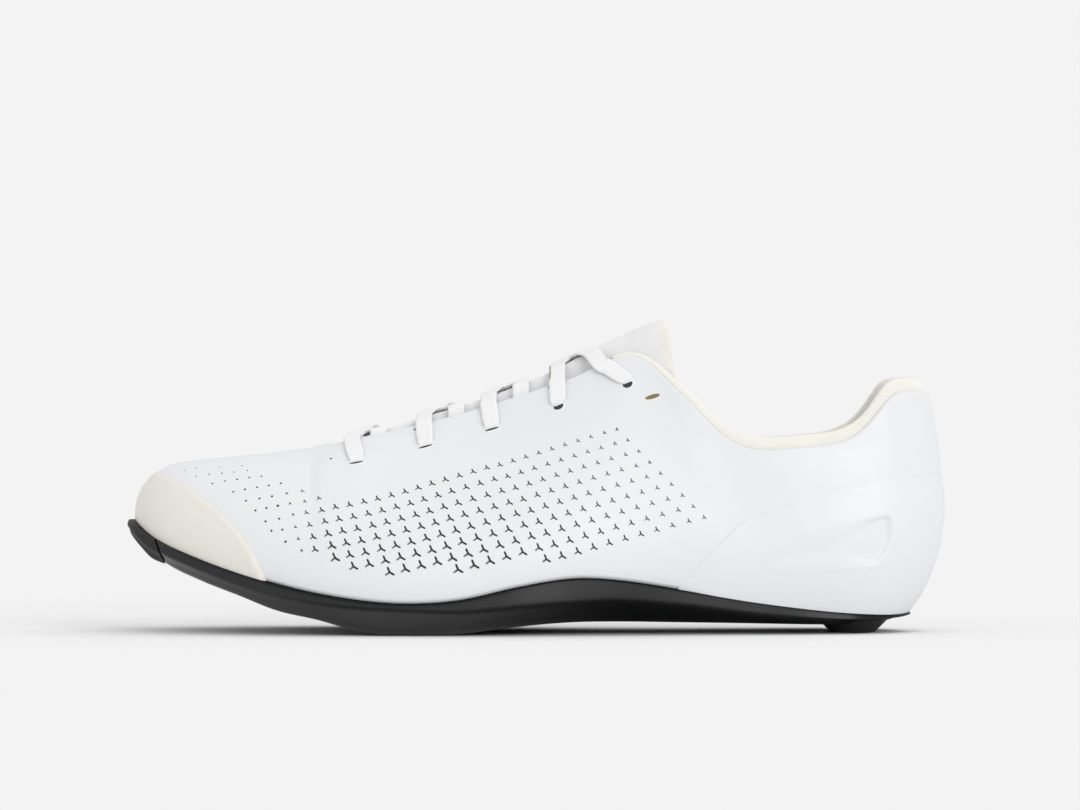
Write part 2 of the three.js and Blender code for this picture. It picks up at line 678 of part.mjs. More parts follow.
/** The padded collar: a roll on the edge of the upper and a pad down the inside of its wall. */
function makeCollar() {
  const wallDepth = UPPER_WALL + COLLAR_CLEARANCE;
  const ease = (k) => THREE.MathUtils.smoothstep(
    rowFromToe(k), COLLAR_START, COLLAR_START + COLLAR_EASE_ROWS);
  const padAt = (k) => COLLAR_PAD * lerp(COLLAR_END_PAD_SHARE, 1, ease(k));
  const rollAt = (k) => lerp(COLLAR_END_ROLL_SHARE, 1, ease(k));
  const sectionAt = (k) => COLLAR_SECTION.map(({ down, depth, over }) => {
    const [, , high, crest] = ribHandles(k);
    const up = crest.sub(high).normalize();
    const inner = depth > 0 ? depth * padAt(k) : depth * UPPER_WALL;
    const point = offsetPoint(k, 1 - down / RIB_STEPS, -wallDepth - inner);
    return point.addScaledVector(up, over * COLLAR_ROLL * rollAt(k));
  });
  const sections = [];
  const end = LOOP - COLLAR_START;
  for (let k = COLLAR_START; k < end + 0.5 / STEPS_PER_ROW; k += 1 / STEPS_PER_ROW) {
    sections.push(sectionAt(k));
  }
  const stepLength = HEEL_HEIGHT / RIB_STEPS;
  const flat = COLLAR_SECTION.map(({ down, depth, over }) => new THREE.Vector2(
    depth * COLLAR_PAD, over * COLLAR_ROLL - down * stepLength));
  return loft(sections, flat);
}

/** Point of the tongue's top face: across runs from -1 to 1 over the gap between the eyestays. */
function tongueFace(row, across, crown) {
  const depth = -UPPER_WALL - TONGUE_ROOM;
  const left = offsetPoint(row, 1, depth);
  const right = offsetPoint(LOOP - row, 1, depth);
  const arch = 1 - Math.abs(across) ** TONGUE_FLATNESS;
  const sink = ribCrest(row).z - left.z;
  const point = left.lerp(right, (across + 1) / 2);
  point.z += (sink + crown * INSTEP_HEIGHT) * arch;
  return point;
}

/** Top face of the tongue at a rib row, from its outer wing over the middle to its inner wing. */
function tongueTop({ row, crown }) {
  const wing = (k, share) => {
    const down = share * TONGUE_WING_WIDTH / lastPoint(k, 1).distanceTo(lastPoint(k, 0));
    return offsetPoint(k, 1 - down, -UPPER_WALL - TONGUE_ROOM);
  };
  return [
    wing(row, 1),
    wing(row, 0.5),
    ...[-1, -0.5, 0, 0.5, 1].map((across) => tongueFace(row, across, crown)),
    wing(LOOP - row, 0.5),
    wing(LOOP - row, 1),
  ];
}

/** Closes a tongue section: its top face and its lining, one thickness towards a centre in the foot. */
function tongueSection(top, thickness) {
  const middle = top[(top.length - 1) / 2];
  const centre = middle.clone();
  centre.z -= TONGUE_CENTRE_DEPTH;
  const under = top.map((point) => {
    const inward = new THREE.Vector3(point.x, centre.y, centre.z).sub(point).normalize();
    return point.clone().addScaledVector(inward, thickness);
  });
  return [...top, ...under.reverse()];
}

/** The tongue: an arched pad under the throat that rises out of it at the top. */
function makeTongue() {
  const sections = TONGUE_ROWS.map((record) => tongueSection(
    tongueTop(record), TONGUE_THICKNESS + record.pad * TONGUE_PAD));
  const root = tongueTop(TONGUE_ROWS[TONGUE_ROWS.length - 1]);
  const middle = root[(root.length - 1) / 2];
  const drop = middle.z - root[0].z;
  for (const { forward, up, lag, wings, spread, pad } of TONGUE_END) {
    const moved = root.map((point) => {
      const height = 1 - (middle.z - point.z) / drop;
      const x = point.x + TONGUE_FREE_LENGTH * (forward - lag * height);
      const y = point.y * (wings + spread * height ** TONGUE_FLARE);
      return new THREE.Vector3(x, y, point.z + TONGUE_FREE_LENGTH * up);
    });
    sections.push(tongueSection(moved, TONGUE_THICKNESS + pad * TONGUE_PAD));
  }
  const flat = sections[0].map((point) => new THREE.Vector2(point.y, point.z));
  return loft(sections, flat);
}

/** Crown of the tongue over the throat's edges at a rib row, in shares of the instep height. */
function crownAt(row) {
  const after = TONGUE_ROWS.findIndex((record) => record.row >= row);
  const high = TONGUE_ROWS[after < 0 ? TONGUE_ROWS.length - 1 : Math.max(after, 1)];
  const low = TONGUE_ROWS[TONGUE_ROWS.indexOf(high) - 1];
  return lerp(low.crown, high.crown, clamp((row - low.row) / (high.row - low.row), 0, 1));
}

/** Centre line of one lace from an eyelet on a side, over the throat's edge, to the far edge. */
function laceRoute(lower, upper, side) {
  const start = eyeletPlace(lower, -1);
  const end = placeAt(alongShoe(upper.at), -1);
  const lift = 2 * CLEARANCE + LACE_THICKNESS / 2;
  const steps = LACE_CLIMB.length + LACE_CROSS.length - 1;
  const rowAt = (step) => lerp(start.k, end, step / steps * LACE_COVERED_SHARE);
  const points = LACE_CLIMB.map((share, step) => {
    const row = rowAt(step);
    return offsetPoint(row, lerp(start.v, 1, share), lift);
  });
  const slope = ribCrest(end).sub(ribCrest(start.k)).setY(0).normalize();
  LACE_CROSS.forEach((across, step) => {
    const row = rowAt(LACE_CLIMB.length + step);
    const [left, right] = [offsetPoint(row, 1, lift), offsetPoint(LOOP - row, 1, lift)];
    const point = left.lerp(right, (across + 1) / 2);
    const arch = Math.max(crownAt(row), 0) * INSTEP_HEIGHT + lift;
    point.z += arch * (1 - Math.abs(across) ** TONGUE_FLATNESS);
    points.push(point);
  });
  return { points: side < 0 ? points : points.map((point) => mirrorAcross(point)), slope };
}

/** The same place on the other half of the shoe, level with the middle of the throat. */
function mirrorAcross(point) {
  const middle = ribValue('middle', placeAt(point.x, -1));
  return new THREE.Vector3(point.x, 2 * middle - point.y, point.z);
}

/** A flat strip of lace along a route, its width level with the slope of the throat. */
function laceStrip({ points, slope }) {
  const sections = points.map((point, index) => {
    const before = points[Math.max(index - 1, 0)];
    const after = points[Math.min(index + 1, points.length - 1)];
    const along = after.clone().sub(before).normalize();
    const wide = slope.clone().addScaledVector(along, -slope.dot(along)).normalize();
    const thick = along.clone().cross(wide);
    const corner = (a, b) => point.clone()
      .addScaledVector(wide, a * LACE_WIDTH / 2)
      .addScaledVector(thick, b * LACE_THICKNESS / 2);
    return [corner(-1, -1), corner(-1, 1), corner(1, 1), corner(1, -1)];
  });
  const flat = [[-1, -1], [-1, 1], [1, 1], [1, -1]].map(([x, y]) => new THREE.Vector2(x, y));
  return loft(sections, flat);
}

/** The two laces that cross between one pair of eyelets and the next, joined where they cross. */
function makeLaceCrossing(index) {
  const [lower, upper] = [EYELETS[index], EYELETS[index + 1]];
  return laceStrip(laceRoute(lower, upper, -1)).add(laceStrip(laceRoute(lower, upper, 1)));
}

/** A mesh with a plain name and a material of its own. */
function piece(name, solid, colour, roughness) {
  const material = new THREE.MeshStandardMaterial({ color: colour, roughness, metalness: 0 });
  const mesh = new THREE.Mesh(toGeometry(solid), material);
  mesh.name = name;
  return mesh;
}

const shoe = new THREE.Group();
shoe.add(piece('sole', makeSole(), 0x1d1e20, 0.42));
shoe.add(piece('toe_bumper', makeToeBumper(), 0x232425, 0.7));
shoe.add(piece('heel_pad', makeHeelPad(), 0x232425, 0.7));
shoe.add(piece('upper', makeUpper(), 0xe9ebee, 0.55));
shoe.add(piece('toe_cap', makeToeCap(), 0xe6e4da, 0.6));
shoe.add(piece('heel_counter', makeHeelCounter(), 0xeceef0, 0.5));
shoe.add(piece('collar', makeCollar(), 0xefebdc, 0.9));
shoe.add(piece('insole', makeInsole(), 0xd8d6d0, 0.9));
shoe.add(piece('tongue', makeTongue(), 0xe8e8ea, 0.8));
for (let index = 0; index + 1 < LACED_EYELETS; index += 1) {
  shoe.add(piece(`lace_crossing_${index + 1}`, makeLaceCrossing(index), 0xeceff0, 0.8));
}

const bounds = new THREE.Box3().setFromObject(shoe);
const middle = bounds.getCenter(new THREE.Vector3());
shoe.position.set(-middle.x, -middle.y, -bounds.min.z);

export default shoe;
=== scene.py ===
"""Looks of a lace-up road cycling shoe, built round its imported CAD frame.

The toe points to -X, the outer side of the foot to -Y. Sizes are in millimetres in the last's own
frame, and every finished mesh is written in metres in the frame of the CAD model.
"""

import logging
import math
from dataclasses import dataclass
from enum import Enum
from functools import cached_property
from typing import Callable, Sequence

import bpy
import numpy as np
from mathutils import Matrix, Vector

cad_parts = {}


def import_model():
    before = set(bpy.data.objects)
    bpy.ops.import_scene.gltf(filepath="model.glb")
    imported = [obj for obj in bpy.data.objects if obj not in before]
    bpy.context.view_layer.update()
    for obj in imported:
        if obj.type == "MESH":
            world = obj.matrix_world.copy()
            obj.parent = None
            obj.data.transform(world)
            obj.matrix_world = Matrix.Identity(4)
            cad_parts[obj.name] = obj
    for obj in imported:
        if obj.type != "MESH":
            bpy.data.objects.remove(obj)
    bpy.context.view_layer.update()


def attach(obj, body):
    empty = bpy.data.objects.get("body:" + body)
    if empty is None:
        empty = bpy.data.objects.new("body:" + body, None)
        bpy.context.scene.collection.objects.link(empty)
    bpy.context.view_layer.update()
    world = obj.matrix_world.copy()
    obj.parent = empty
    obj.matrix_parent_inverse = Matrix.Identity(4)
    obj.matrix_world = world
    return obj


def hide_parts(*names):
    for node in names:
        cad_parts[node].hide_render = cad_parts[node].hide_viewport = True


LOG = logging.getLogger("cycling_shoe")
MM = 0.001
BODY = "root"
OLIVE = (0.20, 0.16, 0.055)
# Distances under which corners are merged, in metres
MERGE, MERGE_SOLID, MERGE_SKIN, MERGE_HOLES = 1e-6, 1e-5, 2e-5, 1e-7
# Steps, in rows round the shoe or shares up a rib, over which directions on the last are measured
EDGE_STEP, SURFACE_STEP, FINE_STEP = 0.05, 0.02, 1e-3
HALVINGS = 40
# Where a charted line is closed, far beyond the shoe and below it, in millimetres
FAR, BELOW = 260.0, -40.0
RIB_COLUMNS = "foot outer inner crest height middle gap bulge lift roof drop rise".split()
SOLE_COLUMNS = "at top arch ridge bottom tuck lip".split()
Array = np.ndarray
Pair = tuple[float, float]
Rows = tuple[tuple[float, ...], ...]
Node = bpy.types.Node
Object = bpy.types.Object
Socket = bpy.types.NodeSocket
Tree = bpy.types.NodeTree


class Side(Enum):
    """The two halves of the shoe, as the sign of Y."""

    OUTER = -1
    INNER = 1


class Slot(Enum):
    """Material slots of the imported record."""

    SOLE = "sole_plate"
    TREAD = "tread_rubber"
    UPPER = "upper_skin"
    TOE = "toe_rubber"
    COUNTER = "counter_shell"
    COLLAR = "collar_lining"
    FOOTBED = "footbed"
    TONGUE = "tongue_cloth"
    LACE = "lace_webbing"


def smoothstep(value: Array, low: float, high: float) -> Array:
    """Smooth step from 0 at low to 1 at high.

    Args:
        value: Where the step is read.
        low: Value at which it starts.
        high: Value at which it ends.

    Returns:
        The step, of the shape of value.
    """
    share = np.clip((np.asarray(value, float) - low) / (high - low), 0.0, 1.0)
    return share * share * (3.0 - 2.0 * share)


def unit(vectors: Array) -> Array:
    """Vectors along the last axis, made one long."""
    length = np.linalg.norm(vectors, axis=-1, keepdims=True)
    return vectors / np.maximum(length, 1e-12)


def cubic(low: Array, high: Array, slopes: tuple[Array, Array], share: Array) -> Array:
    """Curve from low to high with given slopes at its ends.

    Args:
        low: Value at its start.
        high: Value at its end.
        slopes: Slopes at both ends, for each whole share.
        share: Shares of the way.

    Returns:
        The curve's values.
    """
    rise = high - low
    bend = 3 * rise - 2 * slopes[0] - slopes[1]
    return low + share * (slopes[0] + share * (bend + share * (slopes[0] + slopes[1] - 2 * rise)))


def spline(knots: Array, places: Array) -> Array:
    """Smooth line through evenly spaced rows of values.

    Args:
        knots: Rows of values, one row a knot.
        places: Knot numbers, whole or not, to read the line at.

    Returns:
        One row of values for each place.
    """
    knots = np.asarray(knots, float)
    last = len(knots) - 1
    places = np.clip(np.asarray(places, float), 0, last)
    row = np.minimum(places.astype(int), last - 1)
    share = (places - row).reshape(-1, *([1] * (knots.ndim - 1)))
    before, after = knots[np.maximum(row - 1, 0)], knots[np.minimum(row + 2, last)]
    low, high = knots[row], knots[row + 1]
    return cubic(low, high, ((high - before) / 2, (after - low) / 2), share)


def even_line(points: Array, count: int) -> Array:
    """Points at even steps along a line.

    Args:
        points: The line's points.
        count: How many points to give back.

    Returns:
        The evenly spaced points, the first and last as they were.
    """
    run = np.concatenate([[0.0], np.cumsum(np.linalg.norm(np.diff(points, axis=0), axis=1))])
    steps = np.linspace(0.0, run[-1], count)
    return np.stack([np.interp(steps, run, points[:, axis]) for axis in range(points.shape[1])], 1)


def in_polygon(x: Array, z: Array, outline: Array) -> Array:
    """Signed distance from a closed outline, more than 0 inside it.

    Args:
        x: First coordinates of the points.
        z: Second coordinates of the points.
        outline: Corners of the outline, one row each.

    Returns:
        The distance to the outline's nearest edge, negative outside.
    """
    start, end = outline, np.roll(outline, -1, axis=0)
    best = np.full(np.shape(x), np.inf)
    inside = np.zeros(np.shape(x), bool)
    for (ax, az), (bx, bz) in zip(start, end):
        run = (bx - ax) ** 2 + (bz - az) ** 2
        share = np.clip(((x - ax) * (bx - ax) + (z - az) * (bz - az)) / run, 0, 1)
        best = np.minimum(best, np.hypot(x - ax - share * (bx - ax), z - az - share * (bz - az)))
        crosses = (az > z) != (bz > z)
        rise = bz - az if bz != az else 1e-9
        inside ^= crosses & (x < ax + (z - az) / rise * (bx - ax))
    return np.where(inside, best, -best)


@dataclass(frozen=True)
class Last:
    """The form of the foot that the upper, its overlays and the sole's edge follow, in millimetres."""

    length: float = 290.0
    ball_width: float = 98.0
    heel_width: float = 66.0
    instep_height: float = 97.0
    heel_height: float = 84.5
    toe_spring: float = 42.0
    clearance: float = 0.3
    throat_row: float = 5.0
    throat_rounding: float = 0.7
    fore_rows: int = 11
    # Grid of the search for a place seen from the side, its rounds and their largest steps
    search_grid: tuple[int, int] = (120, 40)
    search_rounds: int = 12
    search_steps: Pair = (0.3, 0.1)
    shift_x: float = 0.539
    shift_y: float = 1.199

    @cached_property
    def rib_table(self) -> Array:
        """Ribs from toe to heel, in shares: rows of RIB_COLUMNS."""
        return np.array([
            [0.0114, -0.070, 0.070, 0.0621, 0.619, 0.055, 0.000, 0.008, 0.120, 0.070, 0.004, 0],
            [0.0224, 0.062, 0.205, 0.0690, 0.621, 0.052, 0.000, 0.010, 0.125, 0.085, 0.003, 0],
            [0.0517, 0.190, 0.312, 0.0862, 0.627, 0.048, 0.000, 0.016, 0.140, 0.125, 0.002, 0],
            [0.1034, 0.302, 0.393, 0.1172, 0.637, 0.040, 0.000, 0.026, 0.165, 0.175, 0.000, 0],
            [0.1690, 0.388, 0.443, 0.1690, 0.652, 0.030, 0.000, 0.032, 0.205, 0.215, 0.000, 0],
            [0.2379, 0.448, 0.467, 0.2379, 0.680, 0.020, 0.062, 0.034, 0.250, 0.205, 0.015, 0],
            [0.3138, 0.484, 0.463, 0.3138, 0.725, 0.014, 0.078, 0.033, 0.265, 0.165, 0.075, 0],
            [0.3897, 0.494, 0.438, 0.3897, 0.779, 0.008, 0.092, 0.032, 0.270, 0.145, 0.115, 0],
            [0.4655, 0.475, 0.390, 0.4655, 0.845, 0.004, 0.103, 0.034, 0.270, 0.130, 0.140, 0],
            [0.5414, 0.432, 0.335, 0.5414, 0.920, 0.000, 0.122, 0.040, 0.270, 0.118, 0.160, 0],
            [0.6172, 0.387, 0.298, 0.6172, 1.000, 0.000, 0.155, 0.050, 0.265, 0.100, 0.190, 0],
            [0.6931, 0.515, 0.424, 0.6790, 0.977, 0.000, 0.386, 0.091, 0.280, 0.090, 0.270, 0.00],
            [0.7690, 0.470, 0.424, 0.7430, 0.777, 0.000, 0.450, 0.091, 0.240, 0.045, 0.240, 0.00],
            [0.8379, 0.432, 0.424, 0.8180, 0.764, 0.000, 0.447, 0.106, 0.240, 0.060, 0.240, 0.00],
            [0.8914, 0.371, 0.371, 0.8850, 0.812, 0.000, 0.396, 0.140, 0.250, 0.075, 0.270, 0.00],
            [0.9310, 0.235, 0.235, 0.9380, 0.985, 0.000, 0.272, 0.175, 0.240, 0.100, 0.370, 0.01],
            [0.9517, 0.000, 0.000, 0.9810, 1.000, 0.000, 0.000, 0.205, 0.190, 0.125, 0.400, 0.00],
        ])

    @cached_property
    def sole_table(self) -> Array:
        """Side view of the sole, in shares: rows of SOLE_COLUMNS."""
        return np.array([
            [0.000, 1.020, 0.000, 0.985, 0.960, 0.015, 0.033],
            [0.022, 0.880, 0.000, 0.830, 0.760, 0.022, 0.032],
            [0.045, 0.770, 0.010, 0.695, 0.576, 0.030, 0.030],
            [0.085, 0.650, 0.020, 0.570, 0.440, 0.040, 0.026],
            [0.134, 0.530, 0.022, 0.445, 0.318, 0.045, 0.023],
            [0.180, 0.437, 0.025, 0.350, 0.199, 0.050, 0.020],
            [0.230, 0.356, 0.030, 0.290, 0.126, 0.052, 0.015],
            [0.290, 0.290, 0.038, 0.250, 0.022, 0.052, 0.012],
            [0.350, 0.266, 0.050, 0.230, -0.020, 0.055, 0.012],
            [0.410, 0.296, 0.065, 0.217, 0.008, 0.068, 0.012],
            [0.480, 0.400, 0.080, 0.255, 0.062, 0.085, 0.012],
            [0.545, 0.462, 0.100, 0.282, 0.098, 0.095, 0.012],
            [0.600, 0.440, 0.120, 0.288, 0.104, 0.095, 0.012],
            [0.680, 0.350, 0.110, 0.238, 0.096, 0.080, 0.018],
            [0.760, 0.262, 0.070, 0.170, 0.086, 0.062, 0.018],
            [0.840, 0.196, 0.030, 0.128, 0.075, 0.050, 0.018],
            [0.900, 0.164, 0.010, 0.120, 0.073, 0.040, 0.018],
            [0.940, 0.160, 0.000, 0.135, 0.095, 0.030, 0.018],
            [0.970, 0.196, 0.000, 0.180, 0.160, 0.020, 0.018],
        ])

    @property
    def rows(self) -> int:
        """Rib rows from the toe to the back of the heel."""
        return len(self.rib_table) - 1

    @property
    def loop(self) -> int:
        """Rib rows all round the shoe."""
        return 2 * self.rows

    @cached_property
    def ribs(self) -> dict[str, Array]:
        """Columns of the rib rows all round the shoe, in millimetres."""
        table = dict(zip(RIB_COLUMNS, self.rib_table.T))
        fore = np.arange(len(self.rib_table)) < self.fore_rows
        width = np.where(fore, self.ball_width, self.heel_width)
        height = np.where(fore, self.instep_height, self.heel_height)

        def half(side: Side) -> dict[str, Array]:
            """Columns of one half, from the toe to the heel."""
            rise = table["rise"] if side is Side.INNER else 0.0
            return {
                "foot_x": (table["foot"] - 0.5) * self.length,
                "foot_y": side.value * table[side.name.lower()] * width,
                "crest_x": (table["crest"] - 0.5) * self.length,
                "crest_z": (table["height"] + rise) * height,
                "gap": side.value * table["gap"] * width,
                **{name: table[name] * width for name in ("middle", "bulge", "roof")},
                **{name: table[name] * height for name in ("lift", "drop")},
            }

        outer, inner = half(Side.OUTER), half(Side.INNER)
        return {name: np.concatenate([outer[name], inner[name][-2:0:-1]]) for name in outer}

    def value(self, column: str, k: Array) -> Array:
        """A rib column at places k round the shoe.

        Args:
            column: Name of the column.
            k: Places round the shoe, in rib rows from the toe by way of the outer side.

        Returns:
            The column's values, in millimetres.
        """
        knots = self.ribs[column]
        wrapped = np.mod(np.asarray(k, float), self.loop)
        row = np.floor(wrapped).astype(int)
        share = wrapped - row
        before, low, high, after = (knots[(row + step) % self.loop] for step in (-1, 0, 1, 2))
        return cubic(low, high, ((high - before) / 2, (after - low) / 2), share)

    def from_toe(self, k: Array) -> Array:
        """Distance round the shoe from the toe, in rows, the same on both sides."""
        wrapped = np.mod(np.asarray(k, float), self.loop)
        return np.minimum(wrapped, self.loop - wrapped)

    def sole_line(self, name: str, x: Array) -> Array:
        """A column of the sole's side view at places along the shoe.

        Args:
            name: Name of the column.
            x: Places along the shoe, in millimetres.

        Returns:
            The column's values, in shares.
        """
        places, values = self.sole_table[:, 0], self.sole_table[:, SOLE_COLUMNS.index(name)]
        at = np.asarray(x, float) / self.length + 0.5
        last = len(places) - 1
        row = np.clip(np.searchsorted(places, at, side="left") - 1, 0, last - 1)
        before, after = np.maximum(row - 1, 0), np.minimum(row + 2, last)
        low, high = values[row], values[row + 1]
        span = places[row + 1] - places[row]
        slopes = ((high - values[before]) / (places[row + 1] - places[before]) * span,
                  (values[after] - low) / (places[after] - places[row]) * span)
        return cubic(low, high, slopes, np.clip((at - places[row]) / span, 0, 1))

    def sole_height(self, name: str, x: Array, y: Array) -> Array:
        """Height of the sole's top face or side ridge, which rise towards the arch side."""
        inward = np.clip(np.asarray(y, float) / self.ball_width + 0.5, 0, 1)
        return self.toe_spring * (self.sole_line(name, x) + self.sole_line("arch", x) * inward)

    def sole_under(self, x: Array) -> Array:
        """Height of the sole's underside."""
        return np.maximum(0.0, self.toe_spring * self.sole_line("bottom", x))

    def sole_top(self, x: Array, y: Array) -> Array:
        """Height of the sole's top face."""
        return self.sole_height("top", x, y)

    def outward(self, k: Array) -> Array:
        """Level outward direction of the sole's edge at places k."""
        dx, dy = (self.value(name, k + EDGE_STEP) - self.value(name, k - EDGE_STEP)
                  for name in ("foot_x", "foot_y"))
        return unit(np.stack([dy, -dx, np.zeros_like(dx)], -1))

    def foot(self, k: Array) -> Array:
        """Feet of the ribs, on the sole's top edge."""
        x, y = self.value("foot_x", k), self.value("foot_y", k)
        return np.stack([x, y, self.sole_top(x, y) + self.clearance], -1)

    def crest(self, k: Array) -> Array:
        """Crests of the ribs, on the ridge before the throat and on the opening's edge behind it."""
        opening = np.clip((self.from_toe(k) - self.throat_row) / self.throat_rounding, 0, 1)
        y = self.value("middle", k) + self.value("gap", k) * np.sqrt(opening)
        return np.stack([self.value("crest_x", k), y, self.value("crest_z", k)], -1)

    def up_at_crest(self, k: Array) -> Array:
        """Direction in which the ribs run through their crests."""
        lean = self.outward(k) * self.value("roof", k)[..., None]
        lean[..., 2] -= self.value("drop", k)
        return unit(-lean)

    def point(self, k: Array, v: Array) -> Array:
        """Points of the last's surface.

        Args:
            k: Places round the shoe, in rows.
            v: Shares up the rib, from 0 to 1.

        Returns:
            The points, in millimetres.
        """
        k, v = np.broadcast_arrays(np.asarray(k, float), np.asarray(v, float))
        foot, crest, out = self.foot(k), self.crest(k), self.outward(k)
        low = foot + out * self.value("bulge", k)[..., None]
        low[..., 2] += self.value("lift", k)
        high = crest + out * self.value("roof", k)[..., None]
        high[..., 2] -= self.value("drop", k)
        t = v[..., None]
        s = 1 - t
        return s ** 3 * foot + 3 * s * s * t * low + 3 * s * t * t * high + t ** 3 * crest

    def side_normal(self, k: Array, v: Array) -> Array:
        """Outward normals on one side of the ridge."""
        along = self.point(k + SURFACE_STEP, v) - self.point(k - SURFACE_STEP, v)
        up = self.point(k, np.minimum(v + SURFACE_STEP, 1)) - self.point(k, np.maximum(v - SURFACE_STEP, 0))
        return unit(np.cross(along, up))

    def normal(self, k: Array, v: Array) -> Array:
        """Outward normals. The two sides share one along the closed ridge."""
        k, v = np.broadcast_arrays(np.asarray(k, float), np.asarray(v, float))
        own = self.side_normal(k, v)
        ridge = (v >= 1) & (self.from_toe(k) <= self.throat_row)
        both = unit(own + self.side_normal(self.loop - k, v))
        return np.where(ridge[..., None], both, own)

    def offset(self, k: Array, v: Array, distance: Array) -> Array:
        """Points at a distance outside the last's surface."""
        distance = np.asarray(distance, float)
        return self.point(k, v) + self.normal(k, v) * distance[..., None]

    def place_at(self, x: float, side: Side) -> float:
        """Place k on a side where the crest line passes x."""
        low, high = 0.0, float(self.rows)
        for _ in range(HALVINGS):
            middle = (low + high) / 2
            if float(self.value("crest_x", middle)) < x:
                low = middle
            else:
                high = middle
        return low if side is Side.OUTER else self.loop - low

    def on_side(self, x: Array, z: Array, side: Side) -> tuple[Array, Array]:
        """Places of the surface that a level view from one side sees at x and z.

        Args:
            x: Places along the shoe, in millimetres.
            z: Heights, in millimetres.
            side: The side that is looked at.

        Returns:
            The places k and the shares v.
        """
        x, z = np.atleast_1d(np.asarray(x, float)), np.atleast_1d(np.asarray(z, float))
        rows = np.linspace(0.3, self.rows - 0.3, self.search_grid[0])
        shares = np.linspace(0.02, 0.98, self.search_grid[1])
        most_k, most_v = self.search_steps
        grid_k, grid_v = (g.ravel() for g in np.meshgrid(rows, shares, indexing="ij"))
        if side is Side.INNER:
            grid_k = self.loop - grid_k
        seen = self.point(grid_k, grid_v)
        miss = (seen[None, :, 0] - x[:, None]) ** 2 + (seen[None, :, 2] - z[:, None]) ** 2
        near = np.argmin(miss, axis=1)
        k, v = grid_k[near].copy(), grid_v[near].copy()
        for _ in range(self.search_rounds):
            here = self.point(k, v)
            by_k, by_v = self.slopes(k, v)
            miss_x, miss_z = x - here[:, 0], z - here[:, 2]
            det = by_k[:, 0] * by_v[:, 2] - by_k[:, 2] * by_v[:, 0]
            det = np.where(np.abs(det) < 1e-6, 1e-6, det)
            k = k + np.clip((miss_x * by_v[:, 2] - miss_z * by_v[:, 0]) / det, -most_k, most_k)
            v = v + np.clip((by_k[:, 0] * miss_z - by_k[:, 2] * miss_x) / det, -most_v, most_v)
            v = np.clip(v, 0.0, 1.0)
        return k, v

    def slopes(self, k: Array, v: Array) -> tuple[Array, Array]:
        """How the surface's points move with k and with v."""
        here = self.point(k, v)
        return ((self.point(k + FINE_STEP, v) - here) / FINE_STEP,
                (self.point(k, v + FINE_STEP) - here) / FINE_STEP)

    def to_frame(self, points: Array) -> Array:
        """Points of the last, in metres in the frame of the CAD model."""
        return (np.asarray(points, float) + [self.shift_x, self.shift_y, 0.0]) * MM


LAST = Last()


def deselect() -> None:
    """Leaves object mode with nothing selected."""
    if bpy.context.object is not None and bpy.context.object.mode != "OBJECT":
        bpy.ops.object.mode_set(mode="OBJECT")
    bpy.ops.object.select_all(action="DESELECT")


def activate(obj: Object) -> None:
    """Selects one object alone and makes it the active one."""
    deselect()
    obj.select_set(True)
    bpy.context.view_layer.objects.active = obj


def modify(obj: Object, kind: str, **settings: object) -> None:
    """Adds a modifier to an object and applies it.

    Args:
        obj: The object.
        kind: Type of the modifier.
        **settings: Values of the modifier's properties.
    """
    activate(obj)
    modifier = obj.modifiers.new(kind.title(), kind)
    for name, value in settings.items():
        setattr(modifier, name, value)
    bpy.ops.object.modifier_apply(modifier=modifier.name)


def clean(obj: Object, doubles: float = MERGE, recalculate: bool = False) -> None:
    """Merges an object's doubles and, if asked, turns its normals outwards.

    Args:
        obj: The object.
        doubles: Distance under which corners are merged, in metres.
        recalculate: Whether the normals are worked out anew.
    """
    activate(obj)
    bpy.ops.object.mode_set(mode="EDIT")
    bpy.ops.mesh.select_all(action="SELECT")
    bpy.ops.mesh.remove_doubles(threshold=doubles)
    if recalculate:
        bpy.ops.mesh.normals_make_consistent(inside=False)
    bpy.ops.object.mode_set(mode="OBJECT")
    deselect()


def corners_of(obj: Object) -> Array:
    """Places of an object's corners, one row each."""
    flat = np.empty(len(obj.data.vertices) * 3)
    obj.data.vertices.foreach_get("co", flat)
    return flat.reshape(-1, 3)


def keep_mark(mesh: bpy.types.Mesh, mark: str, values: Array) -> None:
    """Keeps a value at each corner of a mesh."""
    layer = mesh.attributes.new(mark, "FLOAT", "POINT")
    layer.data.foreach_set("value", values.ravel().astype(np.float32))


def carve(obj: Object, tool: Object) -> None:
    """Cuts the form of the active tool out of an object and removes the tool."""
    bpy.ops.object.transform_apply(location=True, rotation=True, scale=True)
    modify(obj, "BOOLEAN", operation="DIFFERENCE", object=tool, solver="EXACT")
    bpy.data.objects.remove(tool)


def sheet_of(name: str, points: Array, marks: dict[str, Array] | None = None) -> Object:
    """Bends a grid primitive into a surface.

    Args:
        name: Name of the object.
        points: Places of its corners, rows by columns by three. Faces look along columns cross rows.
        marks: Values to keep at the corners, by name, rows by columns.

    Returns:
        The surface, its doubles not yet merged.
    """
    rows, columns = points.shape[:2]
    deselect()
    bpy.ops.mesh.primitive_grid_add(x_subdivisions=columns - 1, y_subdivisions=rows - 1, size=2.0)
    obj = bpy.context.object
    obj.name = obj.data.name = name
    flat = corners_of(obj)
    column = np.rint((flat[:, 0] + 1) / 2 * (columns - 1)).astype(int)
    row = np.rint((flat[:, 1] + 1) / 2 * (rows - 1)).astype(int)
    obj.data.vertices.foreach_set("co", LAST.to_frame(points)[row, column].ravel())
    for mark, values in (marks or {}).items():
        keep_mark(obj.data, mark, values[row, column])
    obj.data.update()
    bpy.ops.object.shade_smooth()
    return obj


